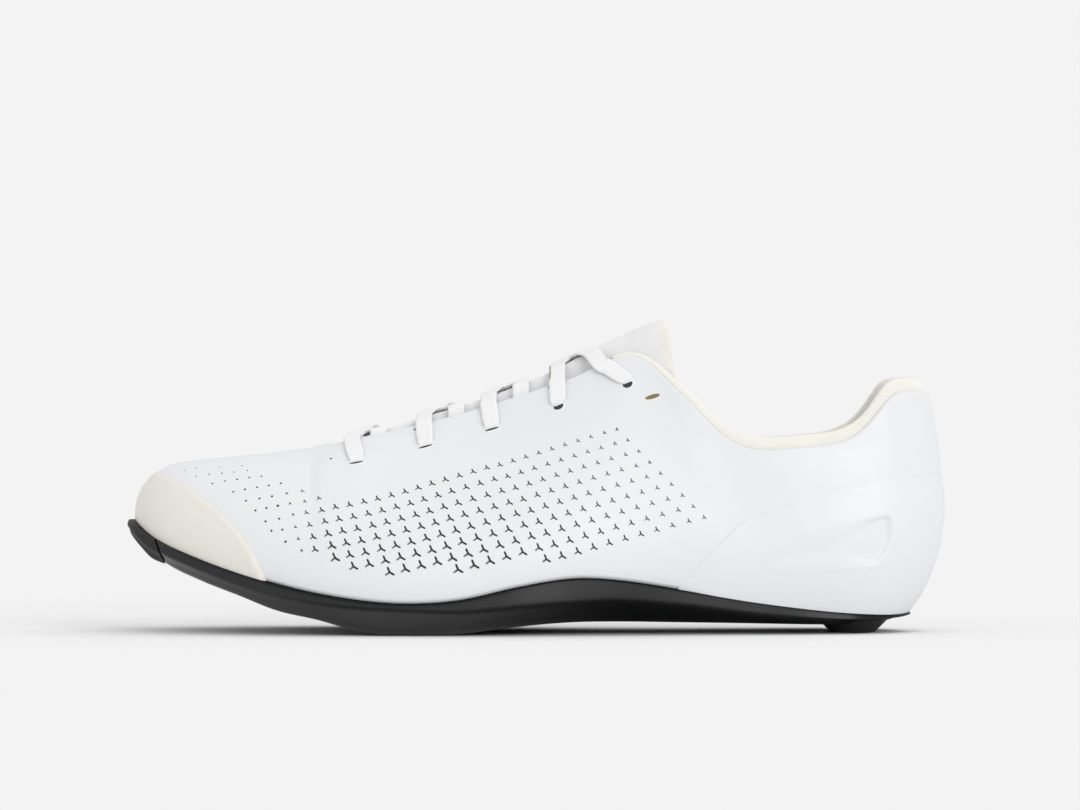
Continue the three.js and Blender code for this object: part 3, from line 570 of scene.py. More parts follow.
def joined(name: str, parts: Sequence[Object], doubles: float = MERGE, recalculate: bool = False) -> Object:
    """Joins objects into one, merges its doubles and names it.

    Args:
        name: Name of the joined object.
        parts: The objects to join.
        doubles: Distance under which corners are merged, in metres.
        recalculate: Whether the normals are worked out anew.

    Returns:
        The joined object.
    """
    activate(parts[0])
    for part in parts:
        part.select_set(True)
    if len(parts) > 1:
        bpy.ops.object.join()
    obj = bpy.context.object
    obj.name = obj.data.name = name
    clean(obj, doubles, recalculate)
    return obj


def dress(obj: Object, material: bpy.types.Material, replaced: Sequence[str] = ()) -> Object:
    """Gives a piece its material and its body, and hides the nodes it stands for.

    Args:
        obj: The piece.
        material: Its finish.
        replaced: CAD nodes that the piece replaces.

    Returns:
        The piece.
    """
    obj.data.materials.clear()
    obj.data.materials.append(material)
    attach(obj, BODY)
    if replaced:
        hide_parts(*replaced)
    LOG.info("%s: %d faces", obj.name, len(obj.data.polygons))
    return obj


class Group:
    """A shader node group with named sockets, built once and used by several materials."""

    def __init__(self, name: str, inputs: dict[str, object], outputs: Sequence[str]) -> None:
        """Starts a group.

        Args:
            name: Name of the group.
            inputs: Default value of each input, a number or a colour.
            outputs: Names of the outputs, where a name that ends in colour is a colour.
        """
        self.tree = bpy.data.node_groups.new(name, "ShaderNodeTree")
        for label, value in inputs.items():
            kind = "NodeSocketColor" if isinstance(value, tuple) else "NodeSocketFloat"
            socket = self.tree.interface.new_socket(label, in_out="INPUT", socket_type=kind)
            socket.default_value = value
        for label in outputs:
            kind = "NodeSocketColor" if label.endswith("colour") else "NodeSocketFloat"
            self.tree.interface.new_socket(label, in_out="OUTPUT", socket_type=kind)
        self.source = self.tree.nodes.new("NodeGroupInput")
        self.sink = self.tree.nodes.new("NodeGroupOutput")

    def node(self, kind: str, **values: object) -> Node:
        """Adds a node and sets its properties and inputs."""
        return add_node(self.tree, kind, **values)

    def out(self, label: str, socket: Socket) -> None:
        """Links a socket to an output of the group."""
        self.tree.links.new(socket, self.sink.inputs[label])


def add_node(tree: Tree, kind: str, **values: object) -> Node:
    """Adds a node to a tree.

    Args:
        tree: The node tree.
        kind: Type of the node, without its ShaderNode.
        **values: Properties by name; inputs by name, with _ for a space, or by number as i0, i1 and so
            on. A socket given as a value is linked.

    Returns:
        The node.
    """
    node = tree.nodes.new("ShaderNode" + kind)
    for name, value in values.items():
        if hasattr(node, name):
            setattr(node, name, value)
            continue
        number = name[1:]
        socket = node.inputs[int(number) if number.isdigit() else name.replace("_", " ")]
        if isinstance(value, Socket):
            tree.links.new(value, socket)
        else:
            socket.default_value = value
    return node


def maths(tree: Tree, operation: str, *values: object) -> Socket:
    """Result of a sum on sockets and numbers."""
    inputs = {f"i{number}": value for number, value in enumerate(values)}
    return add_node(tree, "Math", operation=operation, **inputs).outputs[0]


def mark_of(tree: Tree, mark: str) -> Socket:
    """The value that a mesh keeps at its corners under a mark."""
    return add_node(tree, "Attribute", attribute_name=mark).outputs["Fac"]


def mixed(tree: Tree, share: Socket, first: object, second: object, blend: str = "MIX") -> Socket:
    """Two colours mixed by a share."""
    node = add_node(tree, "MixRGB", blend_type=blend, Fac=share, Color1=first, Color2=second)
    return node.outputs[0]


def opaque(colour: Sequence[float]) -> tuple[float, ...]:
    """A colour with full alpha."""
    return (*colour, 1.0)


def new_material(name: str) -> tuple[bpy.types.Material, Tree, Node]:
    """A new material, its node tree and its shader."""
    material = bpy.data.materials.new(name)
    material.use_nodes = True
    return material, material.node_tree, material.node_tree.nodes["Principled BSDF"]


def set_inputs(node: Node, **values: object) -> None:
    """Sets a node's inputs by name, with _ for a space."""
    for name, value in values.items():
        node.inputs[name.replace("_", " ")].default_value = value


class Effects:
    """Shared shader groups of the shoe's finishes."""

    def __init__(self) -> None:
        """Builds the groups."""
        self.drift = self.colour_drift()
        self.grain = self.skin_grain()
        self.knit = self.fine_knit()

    @staticmethod
    def colour_drift() -> Tree:
        """Slow drift between two colours, as in any dyed or moulded stock."""
        white = opaque((1, 1, 1))
        group = Group("colour_drift", {"First": white, "Second": white, "Scale": 30.0}, ["Drift colour"])
        place = group.node("TexCoord").outputs["Object"]
        noise = group.node("TexNoise", Vector=place, Scale=group.source.outputs["Scale"], Detail=3.0)
        spread = group.node("MapRange", i0=noise.outputs["Fac"], i1=0.35, i2=0.65)
        source = group.source.outputs
        group.out("Drift colour", mixed(group.tree, spread.outputs[0], source["First"], source["Second"]))
        return group.tree

    @staticmethod
    def skin_grain() -> Tree:
        """Pebbled grain of coated microfibre and moulded rubber, with the gloss that follows it."""
        group = Group("skin_grain", {"Scale": 900.0, "Gloss low": 0.4, "Gloss high": 0.6},
                      ["Height", "Gloss"])
        place = group.node("TexCoord").outputs["Object"]
        scale = group.source.outputs["Scale"]
        cells = group.node("TexVoronoi", feature="SMOOTH_F1", Vector=place, Scale=scale)
        noise = group.node("TexNoise", Vector=place, Scale=scale, Detail=4.0)
        height = maths(group.tree, "MULTIPLY_ADD", cells.outputs["Distance"], 0.6, noise.outputs["Fac"])
        wide = maths(group.tree, "MULTIPLY", scale, 0.06)
        cloud = group.node("TexNoise", Vector=place, Scale=wide, Detail=3.0)
        gloss = group.node("MapRange", i0=cloud.outputs["Fac"], i1=0.3, i2=0.7,
                           i3=group.source.outputs["Gloss low"], i4=group.source.outputs["Gloss high"])
        group.out("Height", height)
        group.out("Gloss", gloss.outputs[0])
        return group.tree

    @staticmethod
    def fine_knit() -> Tree:
        """Fine knitted cloth: crossed wales with a little unevenness, as height and shade."""
        group = Group("fine_knit", {"Scale": 1500.0}, ["Height", "Shade"])
        place = group.node("TexCoord").outputs["Object"]
        scale = group.source.outputs["Scale"]
        bands = []
        for direction in ("X", "Z"):
            wave = group.node("TexWave", bands_direction=direction, Vector=place, Scale=scale,
                              Distortion=2.0, Detail=1.0, Detail_Scale=2.0)
            bands.append(wave.outputs["Fac"])
        cross = maths(group.tree, "MULTIPLY", *bands)
        fuzz = group.node("TexNoise", Vector=place, Scale=scale, Detail=5.0)
        height = maths(group.tree, "MULTIPLY_ADD", fuzz.outputs["Fac"], 0.7, cross)
        shade = group.node("MapRange", i0=height, i1=0.2, i2=1.2)
        group.out("Height", height)
        group.out("Shade", shade.outputs[0])
        return group.tree


@dataclass(frozen=True)
class Finish:
    """A finish of the shoe: two close colours, its gloss and its grain."""

    name: str
    colour: tuple[float, float, float]
    second: tuple[float, float, float]
    gloss: Pair = (0.45, 0.6)
    drift_scale: float = 25.0
    grain_scale: float = 900.0
    grain_depth: float = 0.00003
    knit: bool = False
    sheen: float = 0.0
    specular: float = 0.5
    subsurface: float = 0.0

    def build(self, effects: Effects) -> bpy.types.Material:
        """Makes the finish's material.

        Args:
            effects: The shared shader groups.

        Returns:
            The material.
        """
        material, tree, shader = new_material(self.name)
        drift = add_node(tree, "Group", node_tree=effects.drift)
        set_inputs(drift, First=opaque(self.colour), Second=opaque(self.second), Scale=self.drift_scale)
        grain = add_node(tree, "Group", node_tree=effects.grain)
        set_inputs(grain, Scale=self.grain_scale, Gloss_low=self.gloss[0], Gloss_high=self.gloss[1])
        height = grain.outputs["Height"]
        colour = drift.outputs["Drift colour"]
        if self.knit:
            knit = add_node(tree, "Group", node_tree=effects.knit)
            knit.inputs["Scale"].default_value = self.grain_scale
            height = knit.outputs["Height"]
            darker = add_node(tree, "MapRange", i0=knit.outputs["Shade"], i3=0.92, i4=1.0)
            shaded = add_node(tree, "VectorMath", operation="SCALE", i0=colour, Scale=darker.outputs[0])
            colour = shaded.outputs[0]
        bump = add_node(tree, "Bump", Height=height, Strength=1.0, Distance=self.grain_depth)
        tree.links.new(colour, shader.inputs["Base Color"])
        tree.links.new(grain.outputs["Gloss"], shader.inputs["Roughness"])
        tree.links.new(bump.outputs[0], shader.inputs["Normal"])
        set_inputs(shader, Sheen_Weight=self.sheen, Specular_IOR_Level=self.specular,
                   Subsurface_Weight=self.subsurface, Subsurface_Radius=(0.002, 0.0018, 0.0016),
                   Subsurface_Scale=1.0)
        return material


@dataclass(frozen=True)
class PhotoView:
    """The camera: a level side view of the shoe's outer side, toe to the left."""

    distance: float = 2000.0
    centre_x: float = 1.42
    height: float = 80.4
    pixel: float = 0.3554
    columns: int = 1080
    lines: int = 810
    sensor: float = 36.0
    first_depth: float = -35.0

    def at_depth(self, right: Array, down: Array, y: Array) -> tuple[Array, Array]:
        """Where the sight lines through image places pass a depth.

        Args:
            right: Image columns.
            down: Image lines.
            y: Places across the shoe, in the last's millimetres.

        Returns:
            Places x and z in the last's millimetres.
        """
        reach = (self.distance + y + LAST.shift_y) / self.distance
        x = self.centre_x + (np.asarray(right, float) - self.columns / 2) * self.pixel * reach
        z = self.height + (self.lines / 2 - np.asarray(down, float)) * self.pixel * reach
        return x, z

    def places(self, spots: Array) -> tuple[Array, Array]:
        """Places of the last's outer side that the camera sees.

        Args:
            spots: Image columns and lines, one row each.

        Returns:
            The places k round the shoe and the shares v up the ribs.
        """
        spots = np.atleast_2d(np.asarray(spots, float))
        depth = np.full(len(spots), self.first_depth)
        k = v = np.zeros(len(spots))
        for _ in range(3):
            x, z = self.at_depth(spots[:, 0], spots[:, 1], depth)
            k, v = LAST.on_side(x, z, Side.OUTER)
            depth = LAST.point(k, v)[:, 1]
        return k, v

    def build(self) -> None:
        """Adds the camera to the scene."""
        data = bpy.data.cameras.new("photo_camera")
        data.sensor_width = self.sensor
        data.lens = self.sensor * self.distance / (self.columns * self.pixel)
        data.clip_end = 60.0
        camera = bpy.data.objects.new("photo_camera", data)
        camera.location = ((self.centre_x + LAST.shift_x) * MM, -self.distance * MM, self.height * MM)
        camera.rotation_euler = (math.pi / 2, 0.0, 0.0)
        bpy.context.scene.collection.objects.link(camera)
        bpy.context.scene.camera = camera


VIEW = PhotoView()


def rounded(corners: Sequence[Array], radii: Sequence[float], steps: int = 4) -> Array:
    """Rounds the corners of many like outlines at once.

    Args:
        corners: The corners in order, each an array of places, outlines by coordinates.
        radii: How far each corner is cut back before it is rounded; 0 keeps it sharp.
        steps: Spans in each rounded corner.

    Returns:
        Points by outlines by coordinates.
    """
    out: list[Array] = []
    for index, (corner, radius) in enumerate(zip(corners, radii)):
        if radius <= 0 or index in (0, len(corners) - 1):
            out.append(corner)
            continue
        back, ahead = corners[index - 1] - corner, corners[index + 1] - corner
        reach_back = np.minimum(radius, np.linalg.norm(back, axis=-1, keepdims=True) * 0.45)
        reach_ahead = np.minimum(radius, np.linalg.norm(ahead, axis=-1, keepdims=True) * 0.45)
        start, end = corner + unit(back) * reach_back, corner + unit(ahead) * reach_ahead
        for t in np.linspace(0, 1, steps + 1):
            out.append((1 - t) ** 2 * start + 2 * t * (1 - t) * corner + t * t * end)
    return np.stack(out)


@dataclass
class PerforationChart:
    """Places and sizes of the cut stars and dots on one side, charted in image places."""

    first_row: Rows = (
        (335.5, 507), (349.6, 504.6), (364, 501.4), (377.6, 498.5), (391.5, 495.2), (405.3, 491.8),
        (418.4, 488.1), (432, 484), (445.5, 480), (459.5, 476), (473.3, 472), (487, 468), (500, 465),
        (513, 461), (526, 457), (539, 453), (552, 449), (565, 445), (578, 441), (591, 437), (604.5, 433),
        (617, 429.6))
    rows_by_column: tuple[int, ...] = (6, 6, 7, 7, 7, 7, 8, 8, 8, 8, 8) + (9,) * 11
    toe_marks: Rows = (
        (324.8, 521.4, 4.3), (309.6, 524.9, 3.6), (295.5, 527, 2.0), (282.4, 529.6, 1.4),
        (271.5, 530.8, 1.4),
        (328, 533.7, 5.0), (313, 536.9, 4.2), (298.4, 538.8, 2.2), (285.6, 541.7, 1.5),
        (331.7, 545.7, 5.4), (314.9, 549.4, 4.3), (301.6, 550.5, 2.0), (334.9, 557.9, 5.8),
        (321.6, 510.2, 4.0), (306.4, 512.6, 3.2), (293.1, 514.5, 2.0), (279.2, 518.7, 1.4),
        (265.6, 521.4, 1.4),
        (318.9, 498.2, 3.1), (304.8, 501.4, 2.6), (290.1, 503.6, 1.9), (277.9, 505.7, 1.7),
        (266.4, 508.1, 1.4), (255.5, 510.4, 1.4), (302.4, 491, 2.6), (286.9, 493.4, 2.0), (272, 496.3, 1.5),
        (259.5, 498.4, 1.4), (246.1, 500.8, 1.3), (233.3, 491.8, 1.3), (245.1, 489.4, 1.4),
        (257.1, 487.3, 1.3), (268.8, 485.4, 1.4), (280.8, 483.3, 1.4), (212.5, 483.5, 1.2),
        (225, 481.1, 1.2),
        (237.1, 479.3, 1.3), (249.3, 477.4, 1.3), (261.6, 476.3, 1.2), (196, 476.3, 1.0), (209, 474.4, 1.1),
        (221.9, 473.2, 1.1), (234, 472.0, 1.0), (247.2, 470.5, 1.0), (184.8, 470.2, 0.9),
        (195.7, 468.1, 1.0),
        (219.4, 467, 0.9), (241.9, 465.9, 1.0))
    pin_marks: Rows = (
        (331, 459, 1.5), (346, 447, 1.5), (415, 430, 1.5), (482, 407, 1.5), (548, 382, 1.5))
    # Step from a star to the one below it, and how the step changes from column to column
    step_right: Pair = (3.56, 0.35)
    step_down: Pair = (11.9, -0.045)
    # Arm length of a column's first and ninth star: at the front, the column after which it falls,
    # how far it falls and over how many columns
    first_arm: tuple[float, int, float, int] = (4.2, 8, 2.0, 13)
    ninth_arm: tuple[float, int, float, int] = (6.3, 7, 3.7, 14)

    def marks(self) -> Array:
        """All marks of the side as image column, image line and arm length in pixels."""
        out = list(self.toe_marks) + list(self.pin_marks)
        for column, ((x, y), rows) in enumerate(zip(self.first_row, self.rows_by_column)):
            first, ninth = (size - fall * max(0, column - start) / columns
                            for size, start, fall, columns in (self.first_arm, self.ninth_arm))
            right, down = (step + change * column for step, change in (self.step_right, self.step_down))
            for row in range(rows):
                out.append((x + row * right, y + row * down, first + (ninth - first) * row / 8))
        return np.array(out)


@dataclass
class Perforations:
    """Stars and dots of the vamp and quarter where the upper is laser-cut, each a shallow dish painted dark
    as the shade inside its hole, joined into one mesh a side.
    """

    chart: PerforationChart
    arm_angles: tuple[float, ...] = (112.0, 217.0, 329.0)
    arm_width: float = 0.33
    dot_below: float = 1.75
    star_above: float = 2.6
    stub_share: float = 0.35
    # The short arm is painted lighter, as the lit far wall of a hole; the notches a little lighter than the
    # dark rest, painted as the shade inside the hole.
    short_arm: int = 1
    short_length: float = 0.92
    short_shade: float = 0.55
    shoulder: float = 0.86
    tip_share: float = 0.45
    notch_share: float = 0.62
    notch_shade: float = 0.1
    inner_ring: float = 0.72
    dot_radius: float = 0.85
    proud: float = 0.04
    sunk: float = 0.01

    def outline(self) -> tuple[Array, Array]:
        """A star of arm length 1, as its rim and the painted shade of each corner."""
        rim, shade = [], []
        for number, degrees in enumerate(self.arm_angles):
            after = self.arm_angles[(number + 1) % 3] + (360 if number == 2 else 0)
            turn = math.radians(degrees)
            along = np.array([math.cos(turn), math.sin(turn)])
            across = np.array([-along[1], along[0]])
            short = number == self.short_arm
            length = self.short_length if short else 1.0
            for share, width in ((self.shoulder, -1.0), (1.0, -self.tip_share), (1.0, self.tip_share),
                                 (self.shoulder, 1.0)):
                rim.append(along * length * share + across * width * self.arm_width / 2)
                shade.append(self.short_shade if short else 0.0)
            notch = math.radians((degrees + after) / 2)
            rim.append(np.array([math.cos(notch), math.sin(notch)]) * self.arm_width * self.notch_share)
            shade.append(self.notch_shade)
        return np.array(rim), np.array(shade)

    def build(self, side: Side, relief: Callable[[Array, Array], Array]) -> Object:
        """Builds the stars of one side.

        Args:
            side: The side of the shoe.
            relief: Height of the upper's own relief at places k and v.

        Returns:
            The joined stars.
        """
        marks = self.chart.marks()
        k, v = VIEW.places(marks[:, :2])
        size = marks[:, 2] * VIEW.pixel
        if side is Side.INNER:
            k = LAST.loop - k
        rim, shade = self.outline()
        angles = np.arctan2(rim[:, 1], rim[:, 0])
        dot = np.stack([np.cos(angles), np.sin(angles)], 1) * self.dot_radius
        small = (marks[:, 2] < self.dot_below)[:, None, None]
        blunt = (self.star_above - marks[:, 2]) / (self.star_above - self.dot_below)
        stub = self.stub_share * np.clip(blunt, 0, 1)
        stars = rim + (dot - rim) * stub[:, None, None]
        shapes = np.where(small, dot, stars) * size[:, None, None]
        shades = np.where(small[..., 0], 0.0, shade)
        normal = LAST.normal(k, v)
        right = unit(np.array([1.0, 0, 0]) - normal[:, :1] * normal)
        up = np.cross(normal, right) * -side.value
        frame = np.stack([np.stack([(slope * way).sum(1) for slope in LAST.slopes(k, v)], 1)
                          for way in (right, up)], 1)
        inverse = np.linalg.inv(frame)
        rings = [(1.0, self.proud), (self.inner_ring, self.sunk + self.proud * 0.4)]
        corners, faces, values = [], [], []
        count = rim.shape[0]
        for scale, lift in rings:
            move = np.einsum("nab,nmb->nma", inverse, shapes * scale)
            here_k, here_v = k[:, None] + move[..., 0], np.clip(v[:, None] + move[..., 1], 0, 1)
            height = relief(here_k, here_v) + lift
            corners.append(LAST.offset(here_k, here_v, height))
            values.append(shades)
        ground = relief(k, v) + self.sunk + self.proud * 0.2
        centre = LAST.offset(k, v, ground)
        points = np.concatenate([np.stack(corners, 1).reshape(len(k), -1, 3), centre[:, None]], 1)
        value = np.concatenate([np.concatenate(values, 1), np.zeros((len(k), 1))], 1)
        one = []
        for corner in range(count):
            after = (corner + 1) % count
            one.append((corner, after, count + after, count + corner))
            one.append((count + corner, count + after, 2 * count))
        if side is Side.INNER:
            one = [tuple(reversed(face)) for face in one]
        stride = 2 * count + 1
        for star in range(len(k)):
            faces.extend(tuple(index + star * stride for index in face) for face in one)
        name = "perforations_" + side.name.lower()
        mesh = bpy.data.meshes.new(name)
        mesh.from_pydata(LAST.to_frame(points.reshape(-1, 3)).tolist(), [], faces)
        keep_mark(mesh, "shade", value)
        obj = bpy.data.objects.new(name, mesh)
        bpy.context.scene.collection.objects.link(obj)
        return obj


@dataclass
class Upper:
    """The one-piece microfibre upper: skin, lining and rims, and the relief that its cut stars and eyelets
    follow.
    """

    wall: float = 2.0
    columns_per_row: int = 14
    shares: int = 56
    eyestay_step: float = 0.16
    eyestay_place: float = -79.0
    eyestay_soft: float = 0.8
    eyestay_heights: Pair = (46.0, 54.0)
    eyestay_rows: Pair = (3.2, 4.0)
    rim_rows: int = 9
    lining_columns: int = 6
    lining_shares: int = 25

    def relief(self, k: Array, v: Array) -> Array:
        """Height of the skin's own relief over the last, in millimetres.

        Args:
            k: Places round the shoe.
            v: Shares up the ribs.

        Returns:
            The heights.
        """
        place = LAST.point(k, v)
        x, z = place[..., 0], place[..., 2]
        height = np.zeros(np.shape(x))
        front = smoothstep(x - self.eyestay_place, -self.eyestay_soft, self.eyestay_soft)
        high = smoothstep(z, *self.eyestay_heights) * smoothstep(LAST.from_toe(k), *self.eyestay_rows)
        height += self.eyestay_step * front * high
        for crease_x, crease_z, slope, length, width, depth in self.creases():
            along = (x - crease_x) * math.cos(slope) + (z - crease_z) * math.sin(slope)
            across = -(x - crease_x) * math.sin(slope) + (z - crease_z) * math.cos(slope)
            height += depth * np.exp(-(across / width) ** 2 - (along / length) ** 2)
        return height

    @staticmethod
    def creases() -> Rows:
        """Soft troughs and ridges: place x and z, slope, half length, half width and height."""
        return (
            (-77.5, 63.5, 0.75, 5.0, 1.1, 0.30), (-76.2, 61.8, 0.75, 5.0, 1.2, -0.22),
            (-62.0, 30.0, 1.25, 20.0, 7.0, -0.35), (-40.0, 34.0, 1.15, 22.0, 9.0, 0.30),
            (-14.0, 40.0, 1.0, 24.0, 8.0, -0.30), (20.0, 52.0, 0.8, 22.0, 9.0, 0.28),
            (56.0, 50.0, 2.3, 20.0, 6.0, -0.35), (80.0, 58.0, 0.1, 18.0, 5.0, 0.30),
        )

    def skin(self) -> Object:
        """The outer face, from the sole's edge to the ridge and the rims of the openings."""
        k = np.linspace(0, LAST.loop, LAST.loop * self.columns_per_row + 1)
        v = np.linspace(0, 1, self.shares + 1)
        grid_k, grid_v = np.meshgrid(k, v)
        return sheet_of("upper_skin", LAST.offset(grid_k, grid_v, self.relief(grid_k, grid_v)))

    def rims(self) -> list[Object]:
        """The rounded rim of the throat and collar opening and the flat rim at the sole."""
        out = []
        k = np.linspace(LAST.throat_row, LAST.loop - LAST.throat_row,
                        int((LAST.loop - 2 * LAST.throat_row) * self.columns_per_row) + 1)
        top, normal, up = LAST.point(k, 1.0), LAST.normal(k, 1.0), LAST.up_at_crest(k)
        start = self.relief(k, np.ones_like(k))
        rows = []
        for turn in np.linspace(0, math.pi, self.rim_rows):
            depth = start - (start + self.wall) * (1 - math.cos(turn)) / 2
            rows.append(top + normal * depth[:, None] + up * (self.wall / 2 * math.sin(turn)))
        out.append(sheet_of("rim_top", np.stack(rows)))
        around = np.linspace(0, LAST.loop, LAST.loop * self.columns_per_row + 1)
        low = [LAST.offset(around, 0 * around, -self.wall + 0 * around),
               LAST.offset(around, 0 * around, self.relief(around, 0 * around))]
        out.append(sheet_of("rim_foot", np.stack(low)))
        return out

    def lining(self) -> Object:
        """The inner face of the wall."""
        k = np.linspace(0, LAST.loop, LAST.loop * self.lining_columns + 1)
        v = np.linspace(1, 0, self.lining_shares)
        grid_k, grid_v = np.meshgrid(k, v)
        face = LAST.offset(grid_k, grid_v, -self.wall + 0 * grid_k)
        return joined("upper_lining", [sheet_of("lining", face)])


class HeelShape(Enum):
    """Charted side view lines of the heel counter, in image places."""

    FRONT = ((672, 606), (677, 589.2), (686, 577.5), (695.8, 567), (708, 554.5), (720, 542.8),
             (731.5, 530.7), (740, 523), (750, 514.5), (764, 506), (784, 497), (812, 486), (850, 474),
             (900, 464), (990, 458))
    WINDOW = ((769, 556.5), (785, 545), (799.2, 536), (830, 526.4), (849.5, 521.6), (878.5, 516.7),
              (886.5, 515), (891, 519), (892, 529), (890.5, 540), (885, 552), (877, 563.5), (866, 566.5),
              (830, 567), (790, 567.5), (777, 565.5), (771, 561.5))


def charted(spots: Sequence[Sequence[float]], y: float) -> Array:
    """Image places as side view places x and z at a depth.

    Args:
        spots: Image columns and lines.
        y: Place across the shoe at which they are read.

    Returns:
        Places x and z in the last's millimetres, one row each.
    """
    spots = np.asarray(spots, float)
    return np.stack(VIEW.at_depth(spots[:, 0], spots[:, 1], y), 1)


def closed(line: Array, far_x: float) -> Array:
    """A charted line closed far beyond the shoe and below it."""
    return np.concatenate([line, [[far_x, line[-1, 1]], [far_x, BELOW], [line[0, 0], BELOW]]])


@dataclass
class HeelCounter:
    """The moulded heel counter: a raised shell with a sunk window on each side."""

    thickness: float = 1.5
    clearance: float = 0.3
    fade: float = 20.0
    bury: float = 0.35
    bury_top: float = 0.12
    knee: int = 9
    edge_share: float = 0.22
    ramp: float = 13.0
    chart_y: float = -33.0
    rise: Pair = (-0.15, 0.8)
    window_depth: float = 1.2
    # Where the window turns from soft and shallow to sharp and deep, and both measures in front
    window_turn: Pair = (106.0, 122.0)
    window_soft: Pair = (6.0, 1.4)
    window_front: float = 0.35
    lip_place: float = -0.9
    lip_width: float = 1.3
    lip_height: float = 0.07
    first_row: float = 9.6
    columns_per_row: int = 34
    shares: int = 110
    top_share: float = 0.88

    def build(self) -> Object:
        """Builds the counter round the heel."""
        k = np.linspace(self.first_row, LAST.loop - self.first_row,
                        int((LAST.loop - 2 * self.first_row) * self.columns_per_row))
        v = np.linspace(0, self.top_share, self.shares)
        grid_k, grid_v = np.meshgrid(k, v)
        place = LAST.point(grid_k, grid_v)
        x, z = place[..., 0], place[..., 2]
        front = charted(HeelShape.FRONT.value, self.chart_y)
        inside = in_polygon(x, z, closed(front, FAR))
        crest = np.interp(x, front[:, 0], front[:, 1], right=front[-1, 1])
        fade = smoothstep(np.maximum(crest, front[self.knee, 1]) - z, 0.0, self.fade)
        rise = smoothstep(inside, *self.rise)
        swell = self.edge_share + (1 - self.edge_share) * smoothstep(inside, 0.0, self.ramp)
        height = (self.thickness * fade * swell + self.clearance / 2 * smoothstep(fade, 0.0, 0.3)) * rise
        window = in_polygon(x, z, charted(HeelShape.WINDOW.value, self.chart_y))
        behind = smoothstep(x, *self.window_turn)
        soft = self.window_soft[0] + (self.window_soft[1] - self.window_soft[0]) * behind
        deep = self.window_front + (1 - self.window_front) * behind
        height -= self.window_depth * smoothstep(window / soft, 0.0, 1.0) * deep
        lip = np.exp(-((window - self.lip_place) / self.lip_width) ** 2)
        height += self.lip_height * lip * rise * smoothstep(fade, 0.3, 0.9)
        height -= self.bury * (1 - rise)
        height -= self.bury_top * (1 - smoothstep(fade, 0.0, 0.2))
        obj = sheet_of("heel_counter_shell", LAST.offset(grid_k, grid_v, height))
        return joined("heel_counter_shell", [obj])


@dataclass
class ToeCap:
    """The rubbery toe cap, with a rolled rear edge."""

    thickness: float = 1.25
    thin_top: float = 0.6
    thin_heights: Pair = (46.0, 58.0)
    ridge: float = 0.1
    ridge_place: float = 1.6
    ridge_width: float = 1.1
    roll: float = 1.8
    bury: float = 0.5
    bury_width: float = 0.6
    skirt: float = 1.0
    chart_y: float = -24.0
    reach: float = 5.6
    columns: int = 260
    shares: int = 110
    edge: Rows = (
        (271, 592), (268, 580), (264, 570), (257.5, 556), (250.5, 544), (241, 532), (229, 519.5),
        (211, 504.5), (195, 493.5), (181.5, 485.0), (168, 478.5), (155, 474.0), (143, 470.5), (128, 467))

    def build(self) -> Object:
        """Builds the cap round the toe."""
        k = np.linspace(-self.reach, self.reach, self.columns)
        v = np.linspace(0, 1, self.shares)
        grid_k, grid_v = np.meshgrid(k, v)
        place = LAST.point(grid_k, grid_v)
        x, z = place[..., 0], place[..., 2]
        inside = in_polygon(x, z, closed(charted(self.edge, self.chart_y), -FAR))
        share = np.clip(inside / self.roll, 0, 1)
        thickness = self.thickness * (1 - self.thin_top * smoothstep(z, *self.thin_heights))
        height = thickness * np.sqrt(1 - (1 - share) ** 2)
        height -= self.bury * smoothstep(-inside, 0.0, self.bury_width)
        height += self.ridge * np.exp(-((inside - self.ridge_place) / self.ridge_width) ** 2)
        obj = sheet_of("toe_cap_shell", LAST.offset(grid_k, grid_v, height), {"inside": inside})
        values = np.empty(len(obj.data.vertices), np.float32)
        obj.data.attributes["inside"].data.foreach_get("value", values)
        activate(obj)
        bpy.ops.object.mode_set(mode="EDIT")
        bpy.ops.mesh.select_mode(type="VERT")
        bpy.ops.mesh.select_all(action="DESELECT")
        bpy.ops.object.mode_set(mode="OBJECT")
        obj.data.vertices.foreach_set("select", values < -self.skirt)
        bpy.ops.object.mode_set(mode="EDIT")
        bpy.ops.mesh.delete(type="VERT")
        bpy.ops.object.mode_set(mode="OBJECT")
        return joined("toe_cap_shell", [obj])


